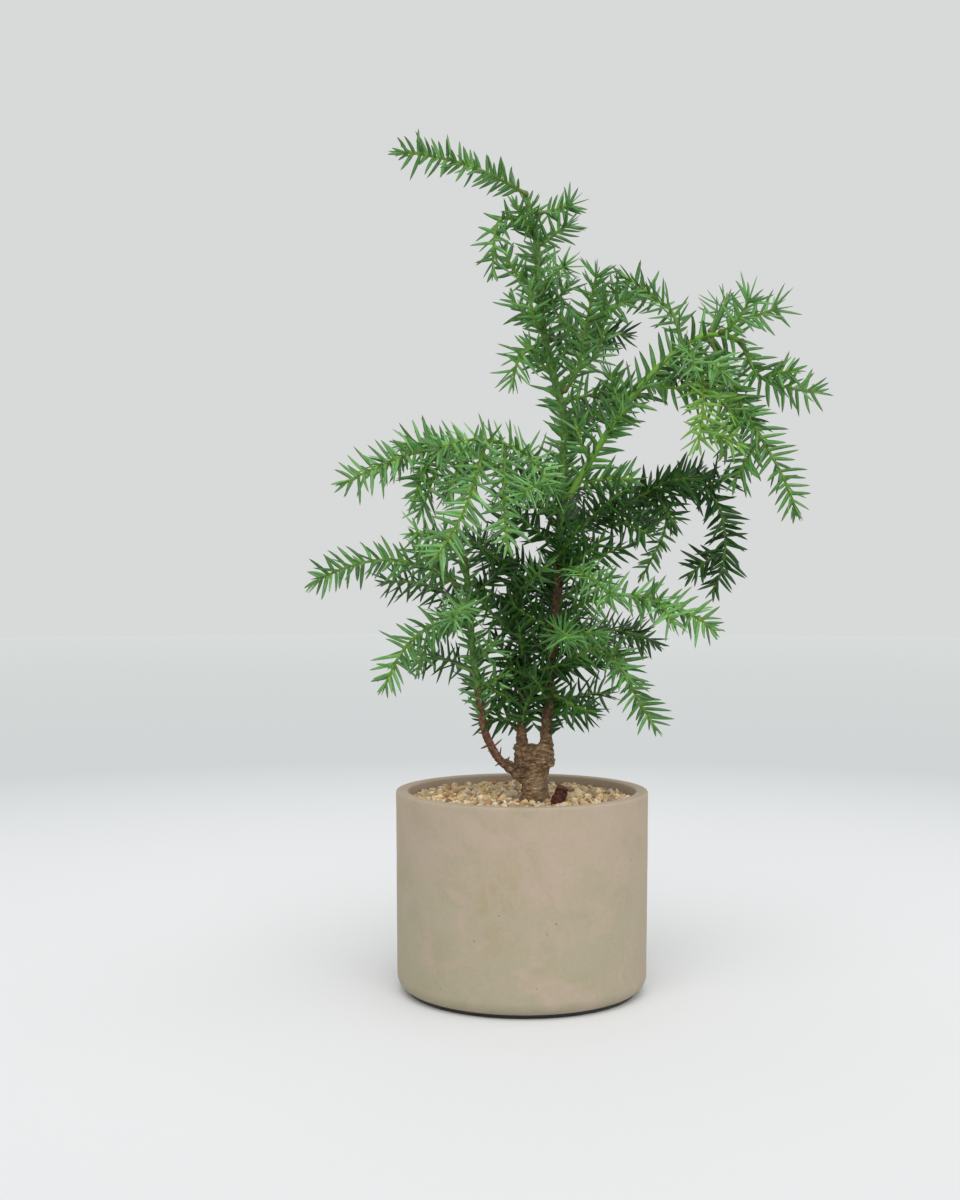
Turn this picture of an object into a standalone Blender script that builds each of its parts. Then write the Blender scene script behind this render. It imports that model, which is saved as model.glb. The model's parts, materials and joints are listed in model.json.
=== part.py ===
"""Artificial tabletop tree in a cast-concrete pot, as separate pieces.

A round pot on a felt pad holds a foam plug, a glued gravel bed and a moulded trunk on a steel rod.
Three cored stems plug into the trunk. A limb and the foliage sprays sit on the stems by round knuckles,
about which the wired ones turn.

Metres, +Z up, front towards -Y. The origin is the centre of the pad's underside.
"""

import math
import random

import bmesh
import bpy
from mathutils import Matrix, Vector

MM = 0.001

# overall sizes
POT_DIAMETER = 0.126
POT_TOP = 0.100  # rim above the table
LEADER_HEIGHT = 0.297  # the leader's tip above the gravel

# pot and what fills it
POT_WALL = 0.0062
POT_FLOOR = 0.010
POT_DRAFT = 0.0006  # how much smaller the foot's radius is than the rim's
BASE_ROUND = 0.007  # radius of the pot's bottom edge
RIM_ROUND = 0.0010
PAD_INSET = 0.006
PAD_THICKNESS = 0.0012
GRAVEL_DROP = 0.003  # gravel below the rim, at the middle
GRAVEL_DEPTH = 0.010
GRAVEL_FALL = 0.002  # how much lower the gravel is at the wall
GRAVEL_BUMP = 0.0006
GAP = 0.0003  # between touching pieces
SEGMENTS = 40
STEM_SIDES = 6
ROUTE_STEP = 0.012  # between a stem's rings
LIMB_STEP = 0.007  # between the limb's rings
WALK_STEP = 0.002  # between the points of a bending route
SAME_PLACE = 0.00001  # vertices nearer than this are one
OVERSHOOT = 0.002  # how far a cutter reaches past the face it opens

# trunk
TRUNK_X = 0.006
TRUNK_Y = -0.020
TRUNK_TOP = 0.0295  # above the gravel
TRUNK_FOOT_WIDTH = 0.0132
TRUNK_WAIST_WIDTH = 0.0126
TRUNK_TOP_WIDTH = 0.0198
TRUNK_DEPTH = 0.0126
TRUNK_LEAN = 0.0015  # the top's shift to the left
BARK_STEP = 0.0026
BARK_RIDGE = 0.0003
SOCKET_LENGTH = 0.012  # cleared in the trunk for a stem's foot
ROD_RADIUS = 0.0015
ROD_IN_TRUNK = 0.014
ROD_IN_FOAM = 0.055

# stems, limb and sprays
STEM_WALL = 0.0006
CORE_RADIUS = 0.0005
CORE_END = 0.0005  # how far a core stays inside its stem's open ends
KNUCKLE_RADIUS = 0.0017
TWIG_RADIUS = 0.0010
TWIG_TIP_RADIUS = 0.0005
LIMB_RADIUS = 0.0018
LIMB_TIP_RADIUS = 0.0011
NEEDLE_LENGTH = 0.0115
NEEDLE_BASE = 0.0022
NEEDLE_ANGLE = math.radians(50)  # from the twig
WHORL_STEP = 0.0090
FIRST_WHORL = 0.010  # from the knuckle's centre
NEEDLE_CLEARANCE = 0.0018
BARE_TIP = 0.0015  # the twig's end past its last needles

GRAVEL_LEVEL = POT_TOP - GRAVEL_DROP
FOAM_TOP = GRAVEL_LEVEL - GRAVEL_DEPTH - GAP
TRUNK_FOOT = Vector((TRUNK_X, TRUNK_Y, GRAVEL_LEVEL))

# Stem routes in millimetres from the trunk's foot, and the radius at each end in metres.
STEMS = {
    "left_stem": (
        [
            (-4.5, 0, 12.5), (-10, 0, 15), (-17, -1, 20), (-22, -2, 28), (-25, -3, 36), (-27, -4, 48),
            (-29, -6, 62), (-31, -8, 79), (-32, -10, 96), (-34, -12, 116),
        ],
        0.0021, 0.0015,
    ),
    "middle_stem": (
        [
            (-6, 1, 21.5), (-6.5, 1, 30), (-6.5, 3, 40), (-6, 4, 49), (-5, 6, 62), (-6, 7, 76),
            (-8, 9, 91), (-10, 10, 106), (-12, 12, 120),
        ],
        0.0024, 0.0015,
    ),
    "leader": (
        [
            (4.5, 0, 20.5), (5, 0, 30), (6, 1, 42), (7, 2, 59), (9, 3, 79), (11, 4, 101), (12, 6, 123),
            (13, 7, 148), (14, 8, 170), (15, 9, 185), (11, 10, 202), (7, 11, 217), (4, 12, 234),
            (2, 13, 254), (1, 15, 274), (-4, 16, 297),
        ],
        0.0027, 0.0015,
    ),
}

# Sprays: name, what it sits on, how far along that in mm, its length in mm, and its heading and
# pitch in degrees at even steps from foot to tip. Heading 0 is +X, 90 is away from the front.
LIMB = (
    "right_limb", "leader", 129, 120,
    [(-18, 60), (-20, 58), (-26, 55), (-22, 49), (-24, 42), (-24, 20), (-20, -30)],
)

WIRED = [
    ("crown_spray", "leader", 999, 68, [(-160, 28), (-165, 20), (-165, 8), (-165, 2)]),
    ("upper_right", "leader", 181, 60, [(-35, 40), (-50, 78), (-55, 72), (-65, 62)]),
    ("upper_back", "leader", 208, 56, [(55, 15), (50, 10), (50, 0), (55, -15)]),
    ("back_high", "leader", 160, 60, [(70, 30), (75, 15), (80, -10)]),
    ("left_arch", "leader", 116, 121, [(-160, 52), (-165, 40), (-165, 8), (-165, -22), (-165, -28)]),
    ("left_arch_front", "leader", 138, 82, [(-130, 28), (-135, 20), (-140, 0), (-145, -25)]),
    ("centre_front", "leader", 128, 58, [(-105, 20), (-110, 0), (-115, -20)]),
    ("right_dark", "leader", 111, 134, [(15, 28), (12, 27), (12, 22), (12, 2), (25, -68), (130, -84), (175, -56)]),
    ("right_fork", "leader", 133, 104, [(38, 6), (30, 3), (30, 0), (28, -12), (110, -80), (165, -62), (165, -62)]),
    ("back_mid", "leader", 140, 80, [(78, -10), (82, -18), (85, -30), (88, -40)]),
    ("back_low", "leader", 84, 58, [(95, 25), (95, 5), (90, -20)]),
    ("front_right", "leader", 72, 83, [(-25, 32), (-25, 6), (-25, -20), (-35, -38)]),
    ("low_right", "leader", 46, 73, [(-15, 34), (-12, 28), (-12, 0), (-20, -72), (-20, -68), (-15, -56), (-15, -58)]),
    ("low_front", "leader", 56, 52, [(-85, 25), (-85, 5), (-80, -15)]),
    ("low_back", "leader", 57, 69, [(50, 15), (45, 10), (45, -10), (45, -20)]),
    ("left_mid", "left_stem", 103, 77, [(180, 38), (180, 15), (180, -15), (180, -30)]),
    ("left_mid_back", "left_stem", 92, 56, [(135, 34), (140, 20), (145, 5), (145, -12)]),
    ("left_low", "left_stem", 86, 55, [(-160, 16), (-165, -22), (-163, -42), (-158, -62), (-155, -62)]),
    ("left_top", "left_stem", 999, 44, [(-115, 35), (-125, 25), (-135, 10), (-140, -10)]),
    ("middle_front", "middle_stem", 94, 52, [(-115, 15), (-110, 15), (-105, 5)]),
    ("limb_back", "right_limb", 92, 64, [(98, 62), (115, 52), (138, 18), (145, 14), (155, 5)]),
    ("limb_right", "right_limb", 999, 50, [(20, -70), (20, -58), (5, -18), (5, -8), (5, -8)]),
    ("limb_droop", "right_limb", 106, 92, [(-28, -62), (-18, -66), (-12, -58), (-20, -62), (-30, -76)]),
    ("limb_front", "right_limb", 94, 60, [(-68, -35), (-80, -58), (-105, -65), (-120, -60)]),
]

TUFTS = [
    ("crown_right", "leader", 271, 18, [(5, 5), (-10, 12), (-20, 20)]),
    ("crown_left", "leader", 261, 48, [(-165, 62), (-150, 10), (-130, -72), (-110, -82), (-80, -84)]),
    ("upper_left", "leader", 214, 24, [(-125, 20), (-115, 75), (-90, 82)]),
    ("upper_left_low", "leader", 206, 33, [(-140, -20), (-135, -30), (-120, -62), (-110, -74)]),
    ("upper_front", "leader", 231, 40, [(-75, 22), (-75, 10), (-78, -10)]),
    ("upper_fork", "upper_right", 38, 24, [(-35, 25), (-30, 20), (-25, 10)]),
    ("arch_drop", "left_arch", 72, 27, [(-150, -45), (-145, -65), (-140, -75)]),
    ("arch_inner", "left_arch", 44, 34, [(140, -5), (135, -25), (130, -50)]),
    ("front_mid", "leader", 95, 52, [(-65, -10), (-65, -15), (-70, -20)]),
    ("foot_right", "leader", 28, 38, [(40, 10), (40, 5), (40, -5)]),
    ("foot_front", "leader", 32, 27, [(-50, -25), (-45, -15), (-45, -5)]),
    ("left_front", "left_stem", 90, 46, [(-95, 20), (-100, 0), (-105, -25)]),
    ("left_back", "left_stem", 62, 38, [(130, 20), (140, 5), (150, -20)]),
    ("middle_top", "middle_stem", 999, 40, [(105, 55), (90, 55), (75, 55)]),
    ("middle_left", "middle_stem", 58, 42, [(-125, 30), (-125, 30), (-120, 35)]),
    ("middle_back", "middle_stem", 48, 50, [(65, 30), (75, 35), (95, 40)]),
    ("middle_low", "middle_stem", 30, 36, [(140, 5), (135, 10), (130, 15)]),
    ("limb_top", "right_limb", 106, 34, [(70, 40), (60, 35), (65, 40)]),
    ("limb_star", "right_limb", 112, 24, [(-60, 5), (-40, 45), (-60, 58)]),
    ("limb_fill", "right_limb", 90, 38, [(-80, 0), (-85, -25), (-85, -40)]),
    ("limb_inner", "right_limb", 74, 44, [(30, -5), (25, -5), (25, 0)]),
]

GREENS = {
    "spray": (0.105, 0.300, 0.120, 1.0),
    "limb": (0.230, 0.400, 0.060, 1.0),
    "stem": (0.150, 0.110, 0.060, 1.0),
}


def clear_scene():
    for item in list(bpy.data.objects):
        bpy.data.objects.remove(item, do_unlink=True)


def new_collection(name):
    group = bpy.data.collections.new(name)
    bpy.context.scene.collection.children.link(group)
    return group


clear_scene()
TREE = new_collection("tabletop_tree")
CUTTERS = new_collection("cutters")


def material(name, colour, roughness, metallic=0.0):
    made = bpy.data.materials.new(name)
    made.use_nodes = True
    shader = made.node_tree.nodes["Principled BSDF"]
    shader.inputs["Base Color"].default_value = colour
    shader.inputs["Roughness"].default_value = roughness
    shader.inputs["Metallic"].default_value = metallic
    return made


def add_object(name, mesh, finish=None, group=TREE):
    made = bpy.data.objects.new(name, mesh)
    group.objects.link(made)
    if finish is not None:
        mesh.materials.clear()
        mesh.materials.append(finish)
    return made


def mesh_from(name, build):
    """A mesh filled by build(bm)."""
    bm = bmesh.new()
    build(bm)
    bmesh.ops.recalc_face_normals(bm, faces=bm.faces)
    mesh = bpy.data.meshes.new(name)
    bm.to_mesh(mesh)
    bm.free()
    return mesh


def evaluated_mesh(item):
    """The object's mesh as its modifiers leave it, with the caps of a curve welded."""
    bpy.context.view_layer.update()
    graph = bpy.context.evaluated_depsgraph_get()
    mesh = bpy.data.meshes.new_from_object(item.evaluated_get(graph))
    bm = bmesh.new()
    bm.from_mesh(mesh)
    bmesh.ops.remove_doubles(bm, verts=bm.verts, dist=SAME_PLACE)
    bm.to_mesh(mesh)
    bm.free()
    return mesh


def cylinder(name, radius, low, high, finish=None, group=TREE, centre=(0, 0), sides=SEGMENTS):
    def build(bm):
        bmesh.ops.create_cone(
            bm, cap_ends=True, segments=sides, radius1=radius, radius2=radius, depth=high - low
        )
        bmesh.ops.translate(bm, verts=bm.verts, vec=(centre[0], centre[1], (low + high) / 2))

    return add_object(name, mesh_from(name, build), finish, group)


def turned(name, profile, finish=None, group=TREE):
    """A shape turned about Z from a profile that runs down its outer side."""
    mesh = bpy.data.meshes.new(name)
    points = [(r, 0, z) for r, z in profile]
    mesh.from_pydata(points, [(i, i + 1) for i in range(len(points) - 1)], [])
    made = add_object(name, mesh, finish, group)
    screw = made.modifiers.new("turn", "SCREW")
    screw.steps = screw.render_steps = SEGMENTS
    screw.use_merge_vertices = True
    screw.merge_threshold = SAME_PLACE
    return made


def as_cutter(item):
    item.hide_render = True
    item.display_type = "WIRE"
    return item


def cut(item, cutter):
    hole = item.modifiers.new(cutter.name, "BOOLEAN")
    hole.operation = "DIFFERENCE"
    hole.solver = "EXACT"
    hole.object = as_cutter(cutter)


def tube_mesh(name, points, radii, sides, capped=True):
    """The mesh of a round wire through points, with its own radius at each."""
    curve = bpy.data.curves.new(name, "CURVE")
    curve.dimensions = "3D"
    curve.bevel_depth = 1.0
    curve.bevel_resolution = (sides - 4) // 2
    curve.use_fill_caps = capped
    line = curve.splines.new("POLY")
    line.points.add(len(points) - 1)
    for spot, place, radius in zip(line.points, points, radii):
        spot.co = (*place, 1.0)
        spot.radius = radius
    holder = bpy.data.objects.new(name, curve)
    TREE.objects.link(holder)
    mesh = evaluated_mesh(holder)
    bpy.data.objects.remove(holder, do_unlink=True)
    bpy.data.curves.remove(curve)
    return mesh


# --- routes -------------------------------------------------------------------------------------

CROWN_SCALE = LEADER_HEIGHT / (STEMS["leader"][0][-1][2] * MM)


def smooth_route(points, step):
    """Points about every step metres along a smooth curve through the route's own points."""
    places = [Vector(p) for p in points]
    padded = [2 * places[0] - places[1], *places, 2 * places[-1] - places[-2]]
    route = []
    for a, b, c, d in zip(padded, padded[1:], padded[2:], padded[3:]):
        count = max(1, round((c - b).length / step))
        for i in range(count):
            t = i / count
            route.append(
                0.5 * (2 * b + (c - a) * t + (2 * a - 5 * b + 4 * c - d) * t**2
                       + (3 * b - a - 3 * c + d) * t**3)
            )
    return [*route, places[-1]]


class Route:
    """A line through points, read by the distance along it."""

    def __init__(self, points, foot_radius, tip_radius):
        self.points = points
        self.marks = [0.0]
        for a, b in zip(points, points[1:]):
            self.marks.append(self.marks[-1] + (b - a).length)
        self.length = self.marks[-1]
        self.foot_radius, self.tip_radius = foot_radius, tip_radius

    def at(self, distance):
        """The point and the direction at a distance along the line."""
        distance = min(max(distance, 0.0), self.length)
        for i in range(len(self.points) - 1):
            if distance <= self.marks[i + 1] or i == len(self.points) - 2:
                a, b = self.points[i], self.points[i + 1]
                share = (distance - self.marks[i]) / (b - a).length
                return a.lerp(b, share), (b - a).normalized()

    def radius(self, distance):
        share = min(max(distance / self.length, 0.0), 1.0)
        return self.foot_radius + (self.tip_radius - self.foot_radius) * share

    def part(self, start, end, step):
        """Points along the line from start to end, about step apart, with their distances."""
        count = max(1, math.ceil((end - start) / step))
        marks = [start + (end - start) * i / count for i in range(count + 1)]
        return [self.at(m)[0] for m in marks], marks


def direction(heading, pitch):
    h, p = math.radians(heading), math.radians(pitch)
    return Vector((math.cos(h) * math.cos(p), math.sin(h) * math.cos(p), math.sin(p)))


def walk(start, bends, length):
    """Points every 2 mm from start, along directions blended between the bends."""
    steps = max(2, round(length / WALK_STEP))
    ways = [direction(*bend) for bend in bends]
    place, points = start.copy(), [start.copy()]
    for i in range(steps):
        spot = (i + 0.5) / steps * (len(ways) - 1)
        first = min(int(spot), len(ways) - 2)
        way = ways[first].lerp(ways[first + 1], spot - first).normalized()
        place = place + way * length / steps
        points.append(place.copy())
    return points


def foot_place(host, along, way):
    """The centre of a knuckle that sits on host, on the side that way points to."""
    reach = GAP + KNUCKLE_RADIUS
    if along >= host.length:
        end, tangent = host.at(host.length)
        return end + tangent * reach
    place, tangent = host.at(along)
    out = (way - tangent * way.dot(tangent)).normalized()
    return place + out * (host.radius(along) + reach)


# --- pot and filling ----------------------------------------------------------------------------


def arc(centre, radius, start, end, steps):
    """Points round a quarter or so of a circle, in the profile's plane."""
    turns = [math.radians(start + (end - start) * i / steps) for i in range(steps + 1)]
    return [(centre[0] + radius * math.cos(a), centre[1] + radius * math.sin(a)) for a in turns]


def pot_inner_radius():
    return POT_DIAMETER / 2 - POT_WALL


def make_pad(finish):
    cylinder("base_pad", POT_DIAMETER / 2 - PAD_INSET, 0.0, PAD_THICKNESS, finish)


def make_pot(finish):
    outer, inner, low = POT_DIAMETER / 2, pot_inner_radius(), PAD_THICKNESS + GAP
    foot = outer - POT_DRAFT
    floor = low + POT_FLOOR
    profile = [(0.0, floor), (inner, floor)]
    profile += arc((inner + RIM_ROUND, POT_TOP - RIM_ROUND), RIM_ROUND, 180, 90, 2)
    profile += arc((outer - RIM_ROUND, POT_TOP - RIM_ROUND), RIM_ROUND, 90, 0, 2)
    profile += arc((foot - BASE_ROUND, low + BASE_ROUND), BASE_ROUND, 0, -90, 4)
    profile.append((0.0, low))
    turned("pot", profile, finish)


def make_foam(finish):
    low = PAD_THICKNESS + POT_FLOOR + 2 * GAP
    plug = cylinder("foam_plug", pot_inner_radius() - GAP, low, FOAM_TOP, finish)
    hole = cylinder(
        "rod_hole_in_foam", ROD_RADIUS + GAP, FOAM_TOP - ROD_IN_FOAM - GAP, FOAM_TOP + OVERSHOOT,
        group=CUTTERS, centre=(TRUNK_X, TRUNK_Y), sides=16,
    )
    cut(plug, hole)


def make_gravel(finish):
    """A crowned disc with a bumpy top, open round the trunk and the snag."""
    radius, rings = pot_inner_radius() - GAP, 6
    low = GRAVEL_LEVEL - GRAVEL_DEPTH
    profile = []
    for i in range(rings + 1):
        share = i / rings
        profile.append((radius * share, GRAVEL_LEVEL - GRAVEL_FALL * share**2))
    profile += [(radius, low), (0.0, low)]
    blank = turned("gravel_blank", profile, group=CUTTERS)
    mesh = evaluated_mesh(blank)
    bpy.data.objects.remove(blank, do_unlink=True)
    rng = random.Random(5)
    for vertex in mesh.vertices:
        if vertex.co.z > low + GRAVEL_DEPTH / 2:
            vertex.co.z += rng.uniform(-GRAVEL_BUMP, GRAVEL_BUMP)
    bed = add_object("gravel_bed", mesh, finish)
    cut(bed, trunk_shape("trunk_clearance", GAP, CUTTERS, ends=OVERSHOOT))
    cut(bed, snag_shape("snag_clearance", GAP, CUTTERS))


def trunk_shape(name, grow, group, finish=None, ends=0.0):
    """Stacked oval rings from the gravel's underside to the trunk's top, with bark ridges."""
    marks = [
        (-GRAVEL_DEPTH, TRUNK_FOOT_WIDTH * 0.92), (0.0, TRUNK_FOOT_WIDTH), (0.004, TRUNK_WAIST_WIDTH),
        (0.010, TRUNK_WAIST_WIDTH * 1.06), (0.016, TRUNK_TOP_WIDTH * 0.78),
        (0.022, TRUNK_TOP_WIDTH * 0.90), (TRUNK_TOP - 0.003, TRUNK_TOP_WIDTH),
        (TRUNK_TOP, TRUNK_TOP_WIDTH * 0.94),
    ]
    sides = 16

    def half_width(z):
        for (z0, w0), (z1, w1) in zip(marks, marks[1:]):
            if z <= z1:
                return (w0 + (w1 - w0) * max(0.0, (z - z0) / (z1 - z0))) / 2
        return marks[-1][1] / 2

    count = round((TRUNK_TOP + GRAVEL_DEPTH) / BARK_STEP)
    levels = [-GRAVEL_DEPTH + (TRUNK_TOP + GRAVEL_DEPTH) * i / count for i in range(count + 1)]
    rings = []
    for i, z in enumerate(levels):
        ridge = BARK_RIDGE * (1 if i % 2 else -1)
        wide = half_width(z) + ridge
        deep = min(wide, TRUNK_DEPTH / 2 + ridge)
        shift = -TRUNK_LEAN * max(0.0, z) / TRUNK_TOP
        height = z - ends if i == 0 else z + ends if i == count else z
        rings.append((shift, height, wide + grow, deep + grow))

    def build(bm):
        loops = []
        for shift, z, wide, deep in rings:
            turns = [2 * math.pi * k / sides for k in range(sides)]
            places = [(shift + wide * math.cos(a), deep * math.sin(a), z) for a in turns]
            loops.append([bm.verts.new(TRUNK_FOOT + Vector(p)) for p in places])
        skin(bm, loops)

    return add_object(name, mesh_from(name, build), finish, group)


def skin(bm, loops):
    """Joins rings of vertices in order, and closes both ends."""
    sides = len(loops[0])
    for low, high in zip(loops, loops[1:]):
        for k in range(sides):
            bm.faces.new((low[k], low[(k + 1) % sides], high[(k + 1) % sides], high[k]))
    bm.faces.new(loops[0][::-1])
    bm.faces.new(loops[-1])


def make_trunk(finish, stems):
    trunk = trunk_shape("trunk", 0.0, TREE, finish)
    foot = TRUNK_FOOT.z - GRAVEL_DEPTH
    hole = cylinder(
        "rod_hole_in_trunk", ROD_RADIUS + GAP, foot - OVERSHOOT, foot + ROD_IN_TRUNK + GAP,
        group=CUTTERS, centre=(TRUNK_X, TRUNK_Y), sides=16,
    )
    cut(trunk, hole)
    for name, route in stems.items():
        cut(trunk, socket_cutter(name + "_socket", route))
    cylinder(
        "trunk_rod", ROD_RADIUS, FOAM_TOP - ROD_IN_FOAM, foot + ROD_IN_TRUNK,
        finish_steel(), centre=(TRUNK_X, TRUNK_Y), sides=12,
    )


def socket_cutter(name, route):
    """A straight hole along a stem's first stretch, as deep as the stem goes."""
    foot, way = route.at(0.0)
    start, end = foot - way * GAP, foot + way * SOCKET_LENGTH
    radius = (route.foot_radius + GAP) / math.cos(math.pi / 16)
    mesh = tube_mesh(name, [start, end], [radius, radius], 16)
    return add_object(name, mesh, group=CUTTERS)


def snag_shape(name, grow, group, finish=None):
    """A short broken root, leaning right out of the gravel."""
    foot = TRUNK_FOOT + Vector((8.8, -5.0, -4.0)) * MM
    tip = TRUNK_FOOT + Vector((13.6, -5.5, 7.6)) * MM
    points = [foot.lerp(tip, share) for share in (0.0, 0.35, 0.6, 0.82, 1.0)]
    radii = [r * MM + grow for r in (2.0, 2.5, 2.6, 2.4, 1.5)]
    return add_object(name, tube_mesh(name, points, radii, 8), finish, group)


# --- stems, limb and sprays ---------------------------------------------------------------------


def stem_routes():
    """The stems' lines. The stretch that the trunk holds keeps its length when the tree grows."""
    routes = {}
    for name, (points, foot_radius, tip_radius) in STEMS.items():
        held = TRUNK_TOP / MM
        places = []
        for x, y, z in points:
            above = z - held
            grown = CROWN_SCALE if above > 0 else 1.0
            places.append(TRUNK_FOOT + Vector((x, y, held + above * grown)) * MM)
        routes[name] = Route(smooth_route(places, ROUTE_STEP), foot_radius, tip_radius)
    return routes


def make_stem(name, route, finish):
    """A moulded sleeve with open ends, and the steel wire inside it."""
    radii = [route.radius(m) for m in route.marks]
    sleeve = add_object(name, tube_mesh(name, route.points, radii, STEM_SIDES, capped=False), finish)
    wall = sleeve.modifiers.new("wall", "SOLIDIFY")
    wall.thickness = STEM_WALL
    wall.offset = -1.0
    points, _ = route.part(CORE_END, route.length - CORE_END, ROUTE_STEP / 2)
    core = name.replace("_stem", "") + "_core"
    add_object(core, tube_mesh(core, points, [CORE_RADIUS] * len(points), 4), finish_steel())


def place_on_joint(item, foot, host=None):
    """Moves the object's origin to its knuckle's centre, and parents it to the moving piece it sits on."""
    item.data.transform(Matrix.Translation(-foot))
    item.location = foot
    if host is not None:
        item.parent = host
        item.location = foot - host.matrix_world.translation
    bpy.context.view_layer.update()


def spray_line(host, along, length, bends):
    start = foot_place(host, along * MM * CROWN_SCALE, direction(*bends[0]))
    points = walk(start, bends, length * MM * CROWN_SCALE)
    return Route(points, TWIG_RADIUS, TWIG_TIP_RADIUS)


def knuckle(route):
    """Points and radii of the ball at a spray's foot, in line with its twig."""
    place, way = route.at(0.0)
    turns = [math.radians(a) for a in (-65, 0, 50)]
    points = [place + way * KNUCKLE_RADIUS * math.sin(a) for a in turns]
    return points, [KNUCKLE_RADIUS * math.cos(a) for a in turns]


def limb_route(routes, host, along, length, bends):
    start = foot_place(routes[host], along * MM * CROWN_SCALE, direction(*bends[0]))
    return Route(walk(start, bends, length * MM * CROWN_SCALE), LIMB_RADIUS, LIMB_TIP_RADIUS)


def make_limb(name, route, finish):
    """The bare bowed branch that carries the limb's own sprays, on a knuckle of its own."""
    points, radii = knuckle(route)
    line, marks = route.part(KNUCKLE_RADIUS * 1.2, route.length, LIMB_STEP)
    points += line
    radii += [route.radius(mark) for mark in marks]
    branch = add_object(name, tube_mesh(name, points, radii, 6), finish)
    place_on_joint(branch, route.points[0])
    return branch


def whorl_marks(route):
    """Where each ring of needles starts along the twig."""
    last = route.length - NEEDLE_BASE - BARE_TIP
    count = max(1, int((last - FIRST_WHORL) / WHORL_STEP) + 1)
    return [last - WHORL_STEP * i for i in reversed(range(count))]


class Needles:
    """Keeps each needle clear of the stems, the twigs and the needles of other sprays."""

    CELL = 0.004
    SPACING = 0.0015  # between the marks along a twig

    def __init__(self):
        self.cells = {}

    def cell(self, place):
        return tuple(math.floor(v / self.CELL) for v in place)

    def add(self, owner, place, reach):
        self.cells.setdefault(self.cell(place), []).append((owner, place, reach))

    def add_line(self, owner, route):
        points, marks = route.part(0.0, route.length, self.SPACING)
        for place, mark in zip(points, marks):
            self.add(owner, place, route.radius(mark))

    def is_free(self, owner, place, reach):
        x, y, z = self.cell(place)
        for key in ((x + i, y + j, z + k) for i in (-1, 0, 1) for j in (-1, 0, 1) for k in (-1, 0, 1)):
            for other, spot, size in self.cells.get(key, ()):
                if other != owner and (spot - place).length < reach + size:
                    return False
        return True


def make_spray(name, route, finish, space):
    """A twig with a knuckle at its foot and rings of three needles, each ring turned from the last."""
    points, radii = knuckle(route)
    starts = whorl_marks(route)
    for mark in starts:
        for spot in (mark, mark + NEEDLE_BASE):
            points.append(route.at(spot)[0])
            radii.append(route.radius(spot))
    points.append(route.at(route.length)[0])
    radii.append(TWIG_TIP_RADIUS * 0.6)
    mesh = tube_mesh(name, points, radii, 6)
    bm = bmesh.new()
    bm.from_mesh(mesh)
    bm.normal_update()
    for number, mark in enumerate(starts):
        add_whorl(bm, route, mark + NEEDLE_BASE / 2, number, name, space)
    bm.to_mesh(mesh)
    bm.free()
    return add_object(name, mesh, finish)


def add_whorl(bm, route, mark, number, owner, space):
    """Draws every second side of the twig's short stretch at mark out into a needle."""
    place, way = route.at(mark)
    side = way.cross(Vector((0, 0, 1)))
    side = side.normalized() if side.length > 0.1 else Vector((1, 0, 0))
    up = side.cross(way)
    ring = []
    for face in bm.faces:
        spot = face.calc_center_median() - place
        if len(face.verts) == 4 and abs(spot.dot(way)) < NEEDLE_BASE * 0.35 and spot.length < TWIG_RADIUS * 1.6:
            ring.append((math.atan2(spot.dot(up), spot.dot(side)), face))
    ring.sort(key=lambda entry: entry[0])
    for index, (_, face) in enumerate(ring):
        if index % 2 == number % 2:
            grow_needle(bm, face, way, place, owner, space)


def grow_needle(bm, face, way, place, owner, space):
    foot = face.calc_center_median()
    out = foot - place
    out = (out - way * out.dot(way)).normalized()
    slope = way * math.cos(NEEDLE_ANGLE) + out * math.sin(NEEDLE_ANGLE)
    spots = [foot + slope * NEEDLE_LENGTH * share for share in (0.35, 0.55, 0.75, 0.9, 1.0)]
    if not all(space.is_free(owner, spot, NEEDLE_CLEARANCE) for spot in spots):
        return
    for spot in spots:
        space.add(owner, spot, NEEDLE_CLEARANCE / 2)
    drawn = bmesh.ops.extrude_discrete_faces(bm, faces=[face])["faces"]
    bmesh.ops.pointmerge(bm, verts=drawn[0].verts, merge_co=spots[-1])


def finish_steel():
    return bpy.data.materials.get("steel") or material("steel", (0.45, 0.45, 0.46, 1.0), 0.4, 1.0)


def main():
    make_pad(material("felt", (0.030, 0.030, 0.032, 1.0), 0.95))
    make_pot(material("concrete", (0.430, 0.380, 0.290, 1.0), 0.85))
    make_foam(material("foam", (0.080, 0.120, 0.060, 1.0), 0.95))
    make_gravel(material("gravel", (0.620, 0.490, 0.330, 1.0), 0.90))
    stems = stem_routes()
    make_trunk(material("bark", (0.210, 0.135, 0.070, 1.0), 0.90), stems)
    snag_shape("snag", 0.0, TREE, material("dark_bark", (0.050, 0.022, 0.010, 1.0), 0.90))
    for name, route in stems.items():
        make_stem(name, route, material(name + "_bark", GREENS["stem"], 0.7))

    limb_name, *placing = LIMB
    routes = dict(stems)
    routes[limb_name] = limb_route(routes, *placing)
    pieces = {limb_name: make_limb(limb_name, routes[limb_name], material("limb", GREENS["limb"], 0.5))}

    sprays = WIRED + TUFTS
    for name, host, along, length, bends in sprays:
        routes[name] = spray_line(routes[host], along, length, bends)
    space = Needles()
    for name, route in routes.items():
        space.add_line(name, route)
    for name, host, *_ in sprays:
        finish = material(name + "_green", GREENS["spray"], 0.5)
        pieces[name] = make_spray(name, routes[name], finish, space)
        place_on_joint(pieces[name], routes[name].points[0], pieces.get(host))
    return routes


main()
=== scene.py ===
"""The looks of the artificial tabletop tree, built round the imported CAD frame.

Every green piece repeats its CAD twig's route and carries full needles; pot, gravel, trunk and stems are
finer versions of their CAD solids. Metres, +Z up, front towards -Y.
"""

import json
import math
import random

import bmesh
import bpy
import numpy as np
from mathutils import Matrix, Vector, noise


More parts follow.
